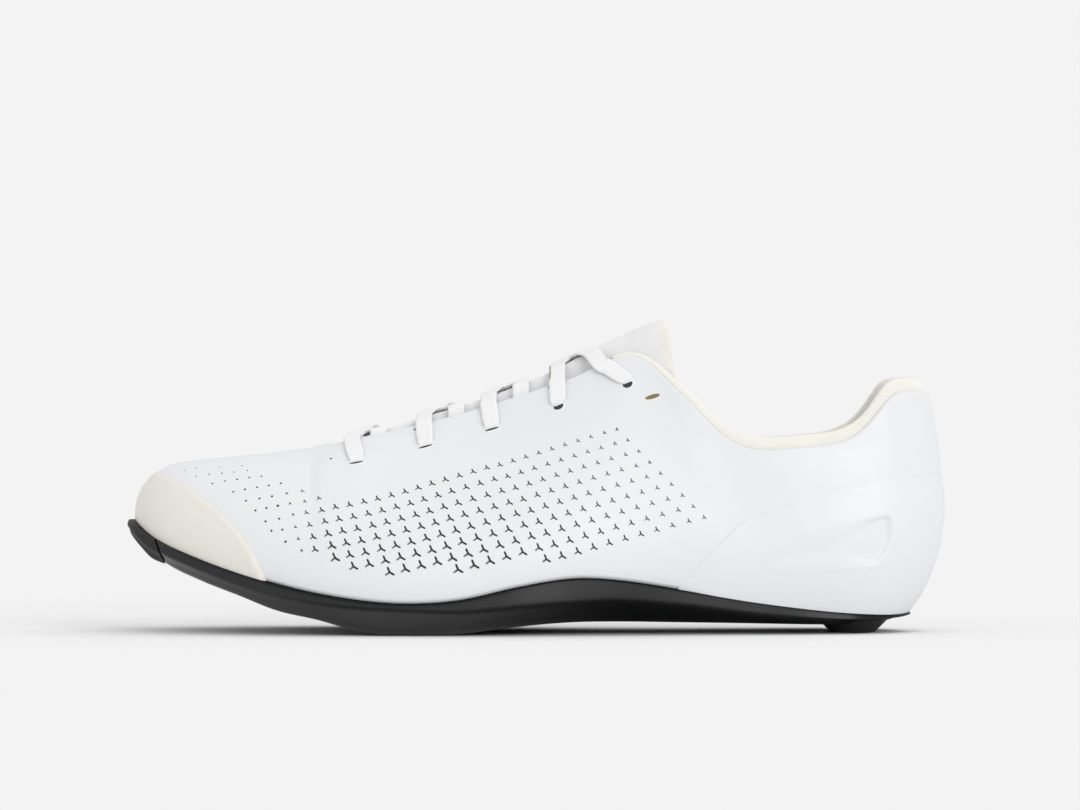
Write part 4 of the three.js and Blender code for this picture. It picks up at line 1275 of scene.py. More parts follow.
@dataclass(frozen=True)
class Satin:
    """How much of the plate's satin coat shows at each place, the coat painting light and shade: spans in
    millimetres, amounts in shares.
    """

    below_ridge: Pair = (-0.2, 1.6)
    below_top: Pair = (-1.2, -0.2)
    ball_to: Pair = (-30.0, 5.0)
    waist_from: Pair = (-10.0, 36.0)
    waist_to: Pair = (84.0, 108.0)
    heel_from: Pair = (92.0, 110.0)
    dim_from: Pair = (0.0, 30.0)
    line_from: Pair = (-95.0, -60.0)
    line_place: float = 0.9
    line_width: float = 0.7
    plain: float = 0.40
    ball_gain: float = 0.5
    heel_loss: float = 0.65
    dim_loss: float = 0.45
    line_loss: float = 0.6
    top_loss: float = 0.7

    def at(self, x: Array, y: Array, z: Array) -> Array:
        """Shares of the coat at places of the plate.

        Args:
            x: Places along the shoe, in the last's millimetres.
            y: Places across it.
            z: Heights.

        Returns:
            The shares, from 0 to 1.
        """
        ridge, top = LAST.sole_height("ridge", x, y), LAST.sole_top(x, y)
        lower = smoothstep(ridge - z, *self.below_ridge)
        ball, heel = 1 - smoothstep(x, *self.ball_to), smoothstep(x, *self.heel_from)
        waist = smoothstep(x, *self.waist_from) * (1 - smoothstep(x, *self.waist_to))
        line = np.exp(-((ridge - z - self.line_place) / self.line_width) ** 2)
        line *= smoothstep(x, *self.line_from) * (1 - heel)
        # Painted reflection: more coat on the lower wall at the ball. Painted shade: the coat comes off the
        # undercut at the waist and heel, along a thin line under the ridge and just under the top edge; the
        # rear half also gets less coat.
        satin = self.plain + self.ball_gain * lower * ball
        satin *= 1 - lower * np.maximum(waist, self.heel_loss * heel)
        satin *= (1 - self.dim_loss * smoothstep(x, *self.dim_from)) * (1 - self.line_loss * line)
        return satin * (1 - self.top_loss * smoothstep(z - top, *self.below_top))


@dataclass
class SoleUnit:
    """The stiff moulded sole with its side wall, toe bumper, heel pad and cleat sockets."""

    columns_per_row: int = 12
    corner_height: float = 1.3
    foot_inset: float = 3.4
    ridge_out: float = 0.5
    wall_rows: tuple[float, ...] = (0.45, 0.62, 0.78, 0.9)
    bumper_proud: float = 0.4
    bumper_columns: int = 20
    bumper_depth: float = 2.2
    # Where the bumper is blunt, and how much tuck and inset that takes away
    blunt_span: Pair = (-143.0, -129.0)
    blunt_tuck: float = 0.7
    blunt_inset: float = 0.6
    hollow: float = 0.35
    foot_reach: float = 6.0
    lip_inset: float = 0.25
    top_reach: float = 1.2
    wall_radius: float = 0.1
    groove_top: Pair = (-138.475, 42.84)
    groove_foot: Pair = (-128.76, 18.9)
    groove_width: float = 1.3
    pad_at: float = 112.52
    pad_length: float = 26.0
    pad_width: float = 46.0
    pad_chamfer: float = 5.0
    sockets_at: float = -44.95
    socket_along: float = 32.0
    socket_across: float = 36.0
    socket_diameter: float = 8.0
    socket_sides: int = 32
    socket_pin: float = 5.0
    pad_height: float = 4.9
    pad_sides: int = 72
    rib_pitch: float = 5.2
    ribs_a_side: int = 3
    rib_slot: tuple[float, float, float] = (30.0, 1.1, 1.0)
    pad_inset: float = 0.8
    pad_bevel: float = 0.25
    bevel_degrees: float = 30.0
    sharp_degrees: float = 40.0

    def form(self, name: str, grow: float, first: float, last: float, fine: int) -> Object:
        """Lofts the sole's form between two places round the shoe.

        Args:
            name: Name of the object.
            grow: How far the wall stands out beyond the plate's.
            first: First place k, negative on the inner side.
            last: Last place k.
            fine: Columns for each rib row.

        Returns:
            The closed form.
        """
        k = np.linspace(first, last, int(round((last - first) * fine)) + 1)
        foot, out = LAST.foot(k), LAST.outward(k)
        x = foot[:, 0]
        lip, tuck = (LAST.sole_line(name, x) * LAST.ball_width for name in ("lip", "tuck"))
        under = LAST.sole_under(x)
        ridge = LAST.sole_height("ridge", x, foot[:, 1])
        top = LAST.sole_top(x, foot[:, 1])
        blunt = 1 - smoothstep(x, *self.blunt_span) if grow > 0 else np.zeros(len(x))
        tuck = tuck * (1 - self.blunt_tuck * blunt)
        inset = self.foot_inset * (1 - self.blunt_inset * blunt)
        under = under - self.bumper_depth * smoothstep(blunt, 0.0, 0.5)

        def edge(inset: Array, z: Array) -> Array:
            """Points at an inset from the sole's outline, at a height."""
            place = foot + out * (lip - inset + grow)[:, None]
            place[:, 2] = z
            return place

        wall = (under + self.corner_height + ridge) / 2
        deep = tuck * 0.5 - self.ridge_out / 2 + self.hollow
        corners = [
            edge(tuck + inset + self.foot_reach, under),
            edge(tuck + inset, under),
            edge(tuck, under + self.corner_height),
            edge(deep, wall),
            *(edge(deep - (deep + self.ridge_out) * share, wall + (ridge - wall) * share)
              for share in self.wall_rows),
            edge(-self.ridge_out + 0 * x, ridge),
            edge(-self.lip_inset + 0 * x, (ridge + top) / 2),
            edge(0 * x, top),
            edge(lip + self.top_reach, top + 0.05),
        ]
        radii = (0, 2.2, 1.6, 3.0, *(self.wall_radius for _ in self.wall_rows), 0.7, 1.2, 0.5, 0)
        profile = rounded(corners, radii)

        def across(ring: Array, shares: Sequence[float]) -> Array:
            """Rows from a ring to the line half way to the same place on the other side."""
            here = np.mod(k, LAST.loop)
            other = np.stack([np.interp(LAST.loop - here, here, ring[:, axis], period=LAST.loop)
                              for axis in range(3)], 1)
            middle = (ring + other) / 2
            return np.stack([ring + (middle - ring) * share for share in shares])

        below = across(profile[0], (1.0, 0.8, 0.6, 0.4, 0.2))
        above = across(profile[-1], (0.5, 1.0))
        return sheet_of(name, np.concatenate([below, profile, above]))

    def cut(self, obj: Object, side: int, gap: float) -> None:
        """Cuts a form off at the groove between bumper and plate and closes the cut.

        Args:
            obj: The form.
            side: -1 keeps what is in front of the groove, 1 what is behind it.
            gap: Width of the groove that the cut leaves.
        """
        top, foot = np.array(self.groove_top), np.array(self.groove_foot)
        run = unit(foot - top)
        normal = Vector((-run[1], 0.0, run[0]))
        start = LAST.to_frame([[top[0] + side * gap / 2, 0.0, top[1]]])[0]
        activate(obj)
        bpy.ops.object.mode_set(mode="EDIT")
        bpy.ops.mesh.select_all(action="SELECT")
        bpy.ops.mesh.bisect(plane_co=start, plane_no=normal, use_fill=True, clear_inner=side > 0,
                            clear_outer=side < 0)
        bpy.ops.object.mode_set(mode="OBJECT")

    def plate(self) -> Object:
        """The moulded plate behind the groove, with its sockets."""
        form = self.form("sole_unit", 0.0, 0.0, LAST.loop, self.columns_per_row)
        obj = joined("sole_unit", [form], MERGE_SOLID, True)
        self.cut(obj, 1, self.groove_width)
        clean(obj, MERGE_SOLID, True)
        for x, y in self.sockets():
            deselect()
            place = LAST.to_frame([[x, y, float(LAST.sole_under(x))]])[0]
            bpy.ops.mesh.primitive_cylinder_add(
                vertices=self.socket_sides, radius=self.socket_diameter / 2 * MM,
                depth=self.socket_pin * MM, location=place)
            carve(obj, bpy.context.object)
        self.crease(obj)
        x, y, z = (corners_of(obj) / MM - [LAST.shift_x, LAST.shift_y, 0.0]).T
        # The coat's share at each corner, painting shade and reflection on the plate.
        keep_mark(obj.data, "satin", Satin().at(x, y, z))
        return obj

    def sockets(self) -> Rows:
        """Places of the three cleat sockets."""
        front, rear = (self.sockets_at + way * self.socket_along / 2 for way in (-1, 1))
        side = self.socket_across / 2
        return (front, 0.0), (rear, -side), (rear, side)

    def crease(self, obj: Object) -> None:
        """Shades an object smooth but for its sharp edges."""
        activate(obj)
        bpy.ops.object.shade_smooth_by_angle(angle=math.radians(self.sharp_degrees))
        deselect()

    def bumper(self) -> Object:
        """The tread rubber round the toe."""
        form = self.form("toe_bumper_tread", self.bumper_proud, 0.0, LAST.loop, self.bumper_columns)
        obj = joined("toe_bumper_tread", [form], MERGE_SOLID, True)
        self.cut(obj, -1, 0.0)
        clean(obj, MERGE_SOLID, True)
        self.crease(obj)
        return obj

    def pad(self) -> Object:
        """The heel tread: a chamfered oval block, ribbed across its foot."""
        deselect()
        x, y, _ = LAST.to_frame([[self.pad_at, 0.0, 0.0]])[0]
        bpy.ops.mesh.primitive_cylinder_add(vertices=self.pad_sides, radius=0.5, depth=1.0,
                                            location=(x, y, self.pad_height / 2 * MM))
        obj = bpy.context.object
        obj.scale = (self.pad_length * MM, self.pad_width * MM, self.pad_height * MM)
        bpy.ops.object.transform_apply(location=True, rotation=True, scale=True)
        bpy.ops.object.mode_set(mode="EDIT")
        bpy.ops.mesh.select_all(action="DESELECT")
        bpy.ops.object.mode_set(mode="OBJECT")
        for face in obj.data.polygons:
            face.select = face.normal.z < -0.9
        bpy.ops.object.mode_set(mode="EDIT")
        share_x, share_y = (1 - 2 * self.pad_chamfer / size for size in (self.pad_length, self.pad_width))
        bpy.ops.transform.resize(value=(share_x, share_y, 1.0), center_override=(x, y, 0.0))
        bpy.ops.mesh.inset(thickness=self.pad_inset * MM)
        bpy.ops.object.mode_set(mode="OBJECT")
        for step in range(-self.ribs_a_side, self.ribs_a_side + 1):
            deselect()
            bpy.ops.mesh.primitive_cube_add(size=1.0, location=(x, y + step * self.rib_pitch * MM, 0.0))
            bpy.context.object.scale = [size * MM for size in self.rib_slot]
            carve(obj, bpy.context.object)
        modify(obj, "BEVEL", width=self.pad_bevel * MM, segments=2, limit_method="ANGLE",
               angle_limit=math.radians(self.bevel_degrees))
        obj.name = obj.data.name = "heel_pad_tread"
        self.crease(obj)
        return obj


@dataclass
class Collar:
    """The padded collar roll and the pad below it inside the wall."""

    start: float = 9.6667
    wall: float = 2.0
    pad: float = 4.4
    roll: float = 5.9
    thin_end: float = 0.3
    gap: float = 0.45
    uneven: float = 0.35
    rib_steps: int = 9
    columns: int = 300
    section_points: int = 61
    section: Rows = (
        (0.0, -0.42, 0.08), (0.0, -0.56, 0.42), (0.0, -0.36, 0.80), (0.0, 0.16, 1.00), (0.0, 0.76, 0.84),
        (0.0, 1.00, 0.26), (1.0, 0.98, 0.00), (2.0, 0.50, 0.00), (2.5, 0.10, 0.00), (2.0, 0.00, 0.00),
        (1.0, 0.00, 0.00), (0.0, 0.00, 0.08))

    def build(self) -> Object:
        """Lofts the collar."""
        k = np.linspace(self.start, LAST.loop - self.start, self.columns)
        ease = smoothstep(LAST.from_toe(k), self.start, self.start + 2)
        pad = self.pad * (self.thin_end + (1 - self.thin_end) * ease)
        roll = self.roll * (2 * self.thin_end + (1 - 2 * self.thin_end) * ease)
        up = LAST.up_at_crest(k)
        table = np.array(self.section)
        around = np.concatenate([table[-2:], table, table[:3]])
        line = spline(around, np.linspace(2, 2 + len(table), self.section_points))
        rows = []
        for down, depth, over in line:
            depth_mm = -self.wall - self.gap - np.where(depth > 0, depth * pad, depth * self.wall)
            v = np.clip(1 - down / self.rib_steps, 0, 1) + 0 * k
            waves = (np.sin(k * 5.3 + down * 2) + np.sin(k * 9.1 + 1.3 + depth)) / 2
            soft = max(0.0, depth) * self.uneven * waves
            rows.append(LAST.offset(k, v, depth_mm - soft) + up * (over * roll)[:, None])
        obj = sheet_of("collar_roll", np.stack(rows[::-1]))
        return joined("collar_roll", [obj], MERGE, True)


@dataclass
class Footbed:
    """The cupped footbed inside the shoe."""

    inset: float = 2.6
    thickness: float = 3.0
    cup: float = 2.2
    cup_span: Pair = (-20.0, 90.0)
    cup_power: int = 6
    columns_per_row: int = 6
    shares: tuple[float, ...] = (1.0, 0.85, 0.7, 0.5, 0.3, 0.15, 0.07, 0.0)

    def build(self) -> Object:
        """Lofts the footbed from its middle line to its edge and round to its underside."""
        k = np.linspace(0, LAST.loop, LAST.loop * self.columns_per_row + 1)
        edge = LAST.foot(k) - LAST.outward(k) * self.inset
        middle = (edge + edge[::-1]) / 2
        cup = self.cup * smoothstep(edge[:, 0], *self.cup_span)

        def above(row: Array, lift: Array) -> Array:
            """A row of places at a height over the plate's top face."""
            height = LAST.sole_top(row[:, 0], row[:, 1]) + LAST.clearance + lift
            return np.stack([row[:, 0], row[:, 1], height], 1)

        rows = [above(edge + (middle - edge) * share, self.thickness + cup * (1 - share) ** self.cup_power)
                for share in self.shares]
        rows += [above(edge, 0.0), above(middle, 0.0)]
        obj = sheet_of("footbed_pad", np.stack(rows[::-1]))
        return joined("footbed_pad", [obj], MERGE_SOLID, True)


@dataclass
class Tongue:
    """The padded tongue: under the throat, and rising out of it at the top."""

    thickness: float = 3.2
    pad: float = 3.2
    room: float = 2.4
    wings: float = 12.0
    free_length: float = 15.0
    centre_depth: float = 39.0
    wall: float = 2.0
    flatness: float = 2.6
    flare: float = 3.0
    stations: int = 90
    places: int = 49
    edge_places: int = 4
    tip_stations: int = 7
    lined_stations: int = 18
    lining_fade: int = 10
    rows: Rows = (
        (5.05, -0.034, 0.0), (5.60, 0.004, 0.0), (6.40, 0.026, 0.1), (7.20, 0.034, 0.2), (8.00, 0.044, 0.3),
        (8.70, 0.060, 0.5), (9.30, 0.083, 0.7), (9.80, 0.088, 0.9))
    end: Rows = (
        (0.30, 0.13, 0.02, 0.96, 0.35, 1.00), (0.70, 0.27, 0.04, 0.90, 0.85, 1.00),
        (1.02, 0.33, 0.08, 0.87, 1.05, 0.90), (1.20, 0.20, 0.16, 0.85, 1.05, 0.60))

    def crown(self, row: float) -> float:
        """Crown of the tongue over the throat's edges at a rib row, in millimetres."""
        table = np.array(self.rows)
        return float(np.interp(row, table[:, 0], table[:, 1])) * LAST.instep_height

    def top(self, row: float, crown: float, across: Array) -> Array:
        """Top face of a section.

        Args:
            row: Rib row.
            crown: Height of the middle over the throat's edges.
            across: Places over the section: -2 to -1 the outer wing, -1 to 1 the gap, 1 to 2 the inner.

        Returns:
            Points, one for each place.
        """
        depth = -self.wall - self.room
        out = []
        ends = [LAST.offset(np.array(k), np.array(1.0), np.array(depth)) for k in (row, LAST.loop - row)]
        for place in across:
            if abs(place) <= 1:
                point = ends[0] + (ends[1] - ends[0]) * (place + 1) / 2
                sink = float(LAST.crest(np.array(row))[2]) - ends[0][2]
                point[2] += (sink + crown) * (1 - abs(place) ** self.flatness)
            else:
                k = row if place < 0 else LAST.loop - row
                length = float(np.linalg.norm(LAST.point(k, 1.0) - LAST.point(k, 0.0)))
                down = (abs(place) - 1) * self.wings / length
                point = LAST.offset(np.array(float(k)), np.array(1 - down), np.array(depth))
            out.append(point)
        return np.array(out)

    def build(self) -> Object:
        """Lofts the tongue and marks its lining."""
        across = np.array([-2, -1.5, -1, -0.5, 0, 0.5, 1, 1.5, 2])
        keys, pads = [], []
        for row, crown, pad in self.rows:
            keys.append(self.top(row, crown * LAST.instep_height, across))
            pads.append(pad)
        root = keys[-1]
        middle, drop = root[4], root[4][2] - root[0][2]
        for forward, up, lag, wings, spread, pad in self.end:
            height = 1 - (middle[2] - root[:, 2]) / drop
            moved = root.copy()
            moved[:, 0] += self.free_length * (forward - lag * height)
            moved[:, 1] *= wings + spread * np.clip(height, 0, None) ** self.flare
            moved[:, 2] += self.free_length * up
            keys.append(moved)
            pads.append(pad)
        stations = np.linspace(0, len(keys) - 1, self.stations)
        places = np.linspace(0, len(across) - 1, self.places)
        tops = np.stack([spline(section, places) for section in spline(np.stack(keys), stations)])
        thick = self.thickness + self.pad * np.interp(stations, np.arange(len(pads)), pads)
        steps = np.arange(self.places)
        edge = np.minimum(1, np.minimum(steps, steps[::-1]) / self.edge_places)
        swell = np.sqrt(np.clip(1 - (1 - edge) ** 2, 0, 1))
        rows = []
        for index, (top, deep) in enumerate(zip(tops, thick)):
            close = min(1.0, (len(tops) - 1 - index) / self.tip_stations)
            deep = deep * math.sqrt(max(1e-4, 1 - (1 - close) ** 2))
            centre = top.copy()
            centre[:, 1:] = top[self.places // 2, 1:] - [0.0, self.centre_depth]
            inward = unit(centre - top)
            mid = top + inward * deep / 2
            high = mid - inward * (deep / 2 * swell)[:, None]
            low = mid + inward * (deep / 2 * swell)[:, None]
            rows.append(np.concatenate([high, low[::-1], high[:1]]))
        shell = np.stack(rows)
        lined = np.concatenate([np.zeros(self.places), np.ones(self.places), [0.0]])
        last = shell[-1].mean(0, keepdims=True).repeat(shell.shape[1], 0)
        first = shell[0].mean(0, keepdims=True).repeat(shell.shape[1], 0)
        shell = np.concatenate([first[None], shell, last[None]])
        mark = np.repeat(lined[None], len(shell), 0)
        turned = smoothstep(np.arange(self.lined_stations), 0, self.lining_fade)[:, None]
        mark[-self.lined_stations:] = np.maximum(mark[-self.lined_stations:], turned)
        obj = sheet_of("tongue_pad", shell, {"lining": mark})
        return joined("tongue_pad", [obj], MERGE_SOLID, True)


@dataclass(frozen=True)
class Eyelet:
    """One lace hole of a side: its place in the image, its length, height and tilt."""

    spot: Pair
    length: float
    height: float
    tilt: float


EYELETS = (
    Eyelet((356.5, 463.0), 5.2, 1.0, 8.0), Eyelet((425.5, 447.0), 5.2, 1.0, 14.0),
    Eyelet((492.0, 429.5), 5.2, 1.0, 12.0), Eyelet((558.5, 406.5), 3.7, 3.1, 20.0),
    Eyelet((627.5, 384.0), 3.7, 3.3, 20.0), Eyelet((652.8, 396.8), 5.6, 1.7, 14.0))


@dataclass
class EyeletRow:
    """The cut lace holes of one side, each a pressed rim round a shallow dish whose dark middle is painted
    shade for the hole's inside.
    """

    side: Side
    # Rings of a hole from its rim inwards: growth over the hole, height, and how dark it is painted, as the
    # shade inside the hole
    rings: Rows = (
        (0.75, -0.15, 0.0), (0.55, 0.06, 0.0), (0.28, 0.17, 0.0), (0.0, 0.12, 0.35), (-0.12, 0.07, 1.0),
        (-9.0, 0.06, 1.0))
    corners: int = 33

    def places(self) -> tuple[Array, Array]:
        """Places k and v of the holes on this side."""
        k, v = VIEW.places([eyelet.spot for eyelet in EYELETS])
        return (k if self.side is Side.OUTER else LAST.loop - k), v

    def build(self, relief: Callable[[Array, Array], Array]) -> Object:
        """Builds the holes as shallow dishes, marked with the painted shade of their middles and, in the
        spare hole, the olive backing.
        """
        k, v = self.places()
        parts = []
        for index, eyelet in enumerate(EYELETS):
            normal = LAST.normal(k[index], v[index])
            right = unit(np.array([1.0, 0, 0]) - normal[0] * normal)
            up = np.cross(normal, right) * -self.side.value
            tilt = math.radians(eyelet.tilt)
            along = right * math.cos(tilt) + up * math.sin(tilt)
            across = up * math.cos(tilt) - right * math.sin(tilt)
            centre = LAST.offset(k[index], v[index], relief(k[index], v[index]))
            turns = np.linspace(0, 2 * math.pi, self.corners)
            rings, marks = [], []
            for grow, lift, mark in self.rings:
                a, b = (max(0.0, size / 2 + grow) for size in (eyelet.length, eyelet.height))
                rings.append(centre + along * (a * np.cos(turns))[:, None]
                             + across * (b * np.sin(turns))[:, None] + normal * lift)
                marks.append(np.full(len(turns), mark))
            trim = np.full((len(rings), len(turns)), 1.0 if index == len(EYELETS) - 1 else 0.0)
            kept = {"hole": np.stack(marks), "trim": trim}
            parts.append(sheet_of(f"hole_{index}", np.stack(rings), kept))
        name = "eyelets_" + self.side.name.lower()
        return joined(name, parts, MERGE_HOLES, True)


@dataclass
class Lacing:
    """One flat ribbed lace, criss-crossed through five eyelets a side."""

    width: float = 6.0
    thickness: float = 1.15
    ribs: int = 5
    pairs: int = 5
    clear: float = 0.85
    crossing: float = 0.45
    over: float = 1.2
    over_reach: float = 0.4
    under_wall: float = 2.9
    slit_width: Pair = (0.86, 0.62)
    rib_depth: float = 0.09
    section_points: int = 31
    bridge: tuple[float, ...] = (-0.62, -0.3, 0.0, 0.3, 0.62)
    flatness: float = 2.2
    spline_points: int = 150
    line_points: int = 96
    squeezed: float = 0.8
    trim_run: Pair = (13.0, 32.0)
    trim_edge: Pair = (0.7, 0.85)
    trim_soft: float = 2.0
    lean: tuple[float, ...] = (-0.13, -0.03, -0.02, 0.03)
    covered: tuple[float, ...] = (0.27, 0.47, 0.47, 0.65)
    tongue: Tongue | None = None

    def strip(self, name: str, points: Array, wide: Array, widths: Array, trimmed: bool) -> Object:
        """A flat strip along a line.

        Args:
            name: Name of the object.
            points: The centre line.
            wide: Direction of the width at each point.
            widths: Width at each point.
            trimmed: Whether a stretch of its front edge is olive.

        Returns:
            The strip, with the share across and the length along kept at its corners.
        """
        along = unit(np.gradient(points, axis=0))
        wide = unit(wide - (wide * along).sum(1, keepdims=True) * along)
        thick = np.cross(along, wide)
        across = np.linspace(-1, 1, self.section_points)
        body = (1 - np.abs(across) ** 6) ** 0.5
        rib = self.rib_depth * np.cos(across * math.pi * self.ribs)
        top = self.thickness / 2 * body + rib * body
        low = -self.thickness / 2 * body
        u = np.concatenate([across, across[::-1], across[:1]])
        h = np.concatenate([top, low[::-1], top[:1]])
        squeeze = widths / self.width
        rows = (points[:, None] + wide[:, None] * (u[None, :, None] * widths[:, None, None] / 2)
                + thick[:, None] * (h[None, :, None] * (1 + self.squeezed * (1 - squeeze))[:, None, None]))
        run = np.concatenate([[0.0], np.cumsum(np.linalg.norm(np.diff(points, axis=0), axis=1))])
        lay_along = np.repeat(run[:, None], len(u), 1)
        lay_across = np.repeat(u[None], len(points), 0)
        caps = [rows.mean(1)[end][None].repeat(len(u), 0)[None] for end in (0, -1)]
        rows = np.concatenate([caps[0], rows, caps[1]])
        lay_along = np.concatenate([lay_along[:1], lay_along, lay_along[-1:]])
        lay_across = np.concatenate([lay_across[:1], lay_across, lay_across[-1:]])
        begin, end = self.trim_run
        trim = smoothstep(-lay_across, *self.trim_edge) * smoothstep(lay_along, begin, begin + self.trim_soft)
        trim *= (1 - smoothstep(lay_along, end - self.trim_soft, end)) * float(trimmed)
        return sheet_of(name, rows, {"run": lay_along, "across": lay_across, "trim": trim})

    def build(self, index: int) -> Object:
        """The two laces between one pair of eyelets and the next.

        Args:
            index: Number of the lower pair.

        Returns:
            Both strips as one object.
        """
        strips = [self.run(index, side, number) for number, side in enumerate(Side)]
        return joined(f"lace_pass_{index + 1}", strips, MERGE, True)

    def run(self, index: int, side: Side, number: int) -> Object:
        """One lace from an eyelet over the throat to the next eyelet of the other side.

        Args:
            index: Number of the lower pair.
            side: The side that it starts on.
            number: 0 for the lace that lies over the other, 1 for that other.

        Returns:
            The strip.
        """
        k, v = EyeletRow(Side.OUTER).places()
        last_pass = index == self.pairs - 2
        k0, v0, k1, v1 = k[index], v[index], k[index + 1], v[index + 1]
        drift, lift = k1 - k0, self.clear + 0.1
        narrow = self.slit_width[index >= 3]
        start_row, end_row = k0 + drift * self.lean[index], k0 + drift * self.covered[index]
        knots, widths = [], []

        def near(row: float, share: float, height: float) -> Array:
            """A point on the near flank."""
            return LAST.offset(np.array(row), np.array(min(share, 1.0)), np.array(height))

        def far(row: float, share: float, height: float) -> Array:
            """A point on the far flank."""
            return near(LAST.loop - row, share, height)

        def add(point: Array, width: float = 1.0) -> None:
            """Adds a knot with its share of the lace's width."""
            knots.append(point)
            widths.append(width)

        def drifted(place: float) -> float:
            """Share of its way along the throat that the lace has gone at a place across it."""
            if last_pass and number == 1:
                return (place + 1) / 2
            return float(smoothstep(place, -0.1, 1.0) if number == 0 else smoothstep(place, -1.0, 0.1))

        add(near(k0, v0 - 0.01, -2.2), narrow)
        add(near(k0, v0 + 0.01, -0.6), narrow)
        add(near(k0, v0 + 0.03, lift * 0.9), 0.9)
        for share in (0.4, 0.75):
            add(near(k0 + (start_row - k0) * share, v0 + (1 - v0) * share, lift + 0.15))
        add(near(start_row, 1.0, lift + 0.5))
        for place in self.bridge:
            row = start_row + (end_row - start_row) * drifted(place)
            a, b = near(row, 1.0, lift), far(row, 1.0, lift)
            point = a + (b - a) * (place + 1) / 2
            point[2] += max(0.0, self.tongue.crown(row)) * (1 - abs(place) ** self.flatness)
            if number == 0:
                point[2] += self.over * math.exp(-((place - self.crossing) / self.over_reach) ** 2)
            add(point)
        if last_pass:
            add(far(end_row, 1.0, lift + 0.5))
            for share, width in ((0.7, 1.0), (0.35, 0.96)):
                add(far(k1 - (k1 - end_row) * share, v1 + (1 - v1) * share, lift + 0.15), width)
            add(far(k1, v1 + 0.015, lift * 0.8), 0.8)
            add(far(k1, v1, -0.6), narrow)
            add(far(k1, v1 - 0.02, -2.2), narrow)
        else:
            add(far(end_row, 1.0, -self.under_wall))
            for share, width in ((0.6, 1.0), (0.25, 0.9)):
                add(far(k1 - (k1 - end_row) * share, v1 + (1 - v1) * share, -self.under_wall), width)
            add(far(k1, v1, -1.6), 0.86)
        knots = np.array(knots)
        if side is Side.INNER:
            mirror = LAST.value("middle", np.array([LAST.place_at(x, Side.OUTER) for x in knots[:, 0]]))
            knots[:, 1] = 2 * mirror - knots[:, 1]
        fine = np.linspace(0, len(knots) - 1, self.spline_points)
        line = even_line(spline(np.column_stack([knots, widths]), fine), self.line_points)
        line, width_line = line[:, :3], np.clip(line[:, 3], narrow, 1.0) * self.width
        slope = LAST.crest(np.array(k1)) - LAST.crest(np.array(k0))
        slope[1] = 0
        wide = np.repeat(unit(slope)[None], len(line), 0) * -side.value
        trimmed = last_pass and side is Side.OUTER
        return self.strip(f"lace_{index}_{number}", line, wide, width_line, trimmed)


@dataclass(frozen=True)
class Lamp:
    """A soft distant light: where it stands as a direction, its strength and its apparent size."""

    name: str
    towards: tuple[float, float, float]
    strength: float
    size: float


@dataclass
class Studio:
    """Plain pale floor, even pale surroundings and soft studio light."""

    world: float = 0.896
    paper: float = 0.856
    reach: float = 24.0
    lamps: tuple[Lamp, ...] = (
        Lamp("key_light", (0.60, -1.0, 0.45), 0.85, 0.5),
        Lamp("top_light", (0.30, 0.25, 1.0), 0.18, 1.2))

    def floor(self) -> Object:
        """A level floor out to the horizon."""
        deselect()
        bpy.ops.mesh.primitive_grid_add(x_subdivisions=8, y_subdivisions=8, size=2 * self.reach)
        obj = bpy.context.object
        obj.name = obj.data.name = "studio_floor"
        material, _, shader = new_material("studio_paper")
        set_inputs(shader, Base_Color=opaque((self.paper,) * 3), Roughness=1.0, Specular_IOR_Level=0.0)
        obj.data.materials.append(material)
        return obj

    def build(self) -> None:
        """Builds the floor, lights, world and colour management."""
        self.floor()
        for lamp in self.lamps:
            data = bpy.data.lights.new(lamp.name, "SUN")
            data.energy, data.angle = lamp.strength, lamp.size
            obj = bpy.data.objects.new(lamp.name, data)
            obj.rotation_euler = Vector(lamp.towards).to_track_quat("Z", "Y").to_euler()
            bpy.context.scene.collection.objects.link(obj)
        world = bpy.data.worlds.new("studio_air")
        world.use_nodes = True
        set_inputs(world.node_tree.nodes["Background"], Color=opaque((1, 1, 1)), Strength=self.world)
        bpy.context.scene.world = world
        bpy.context.scene.view_settings.view_transform = "Standard"


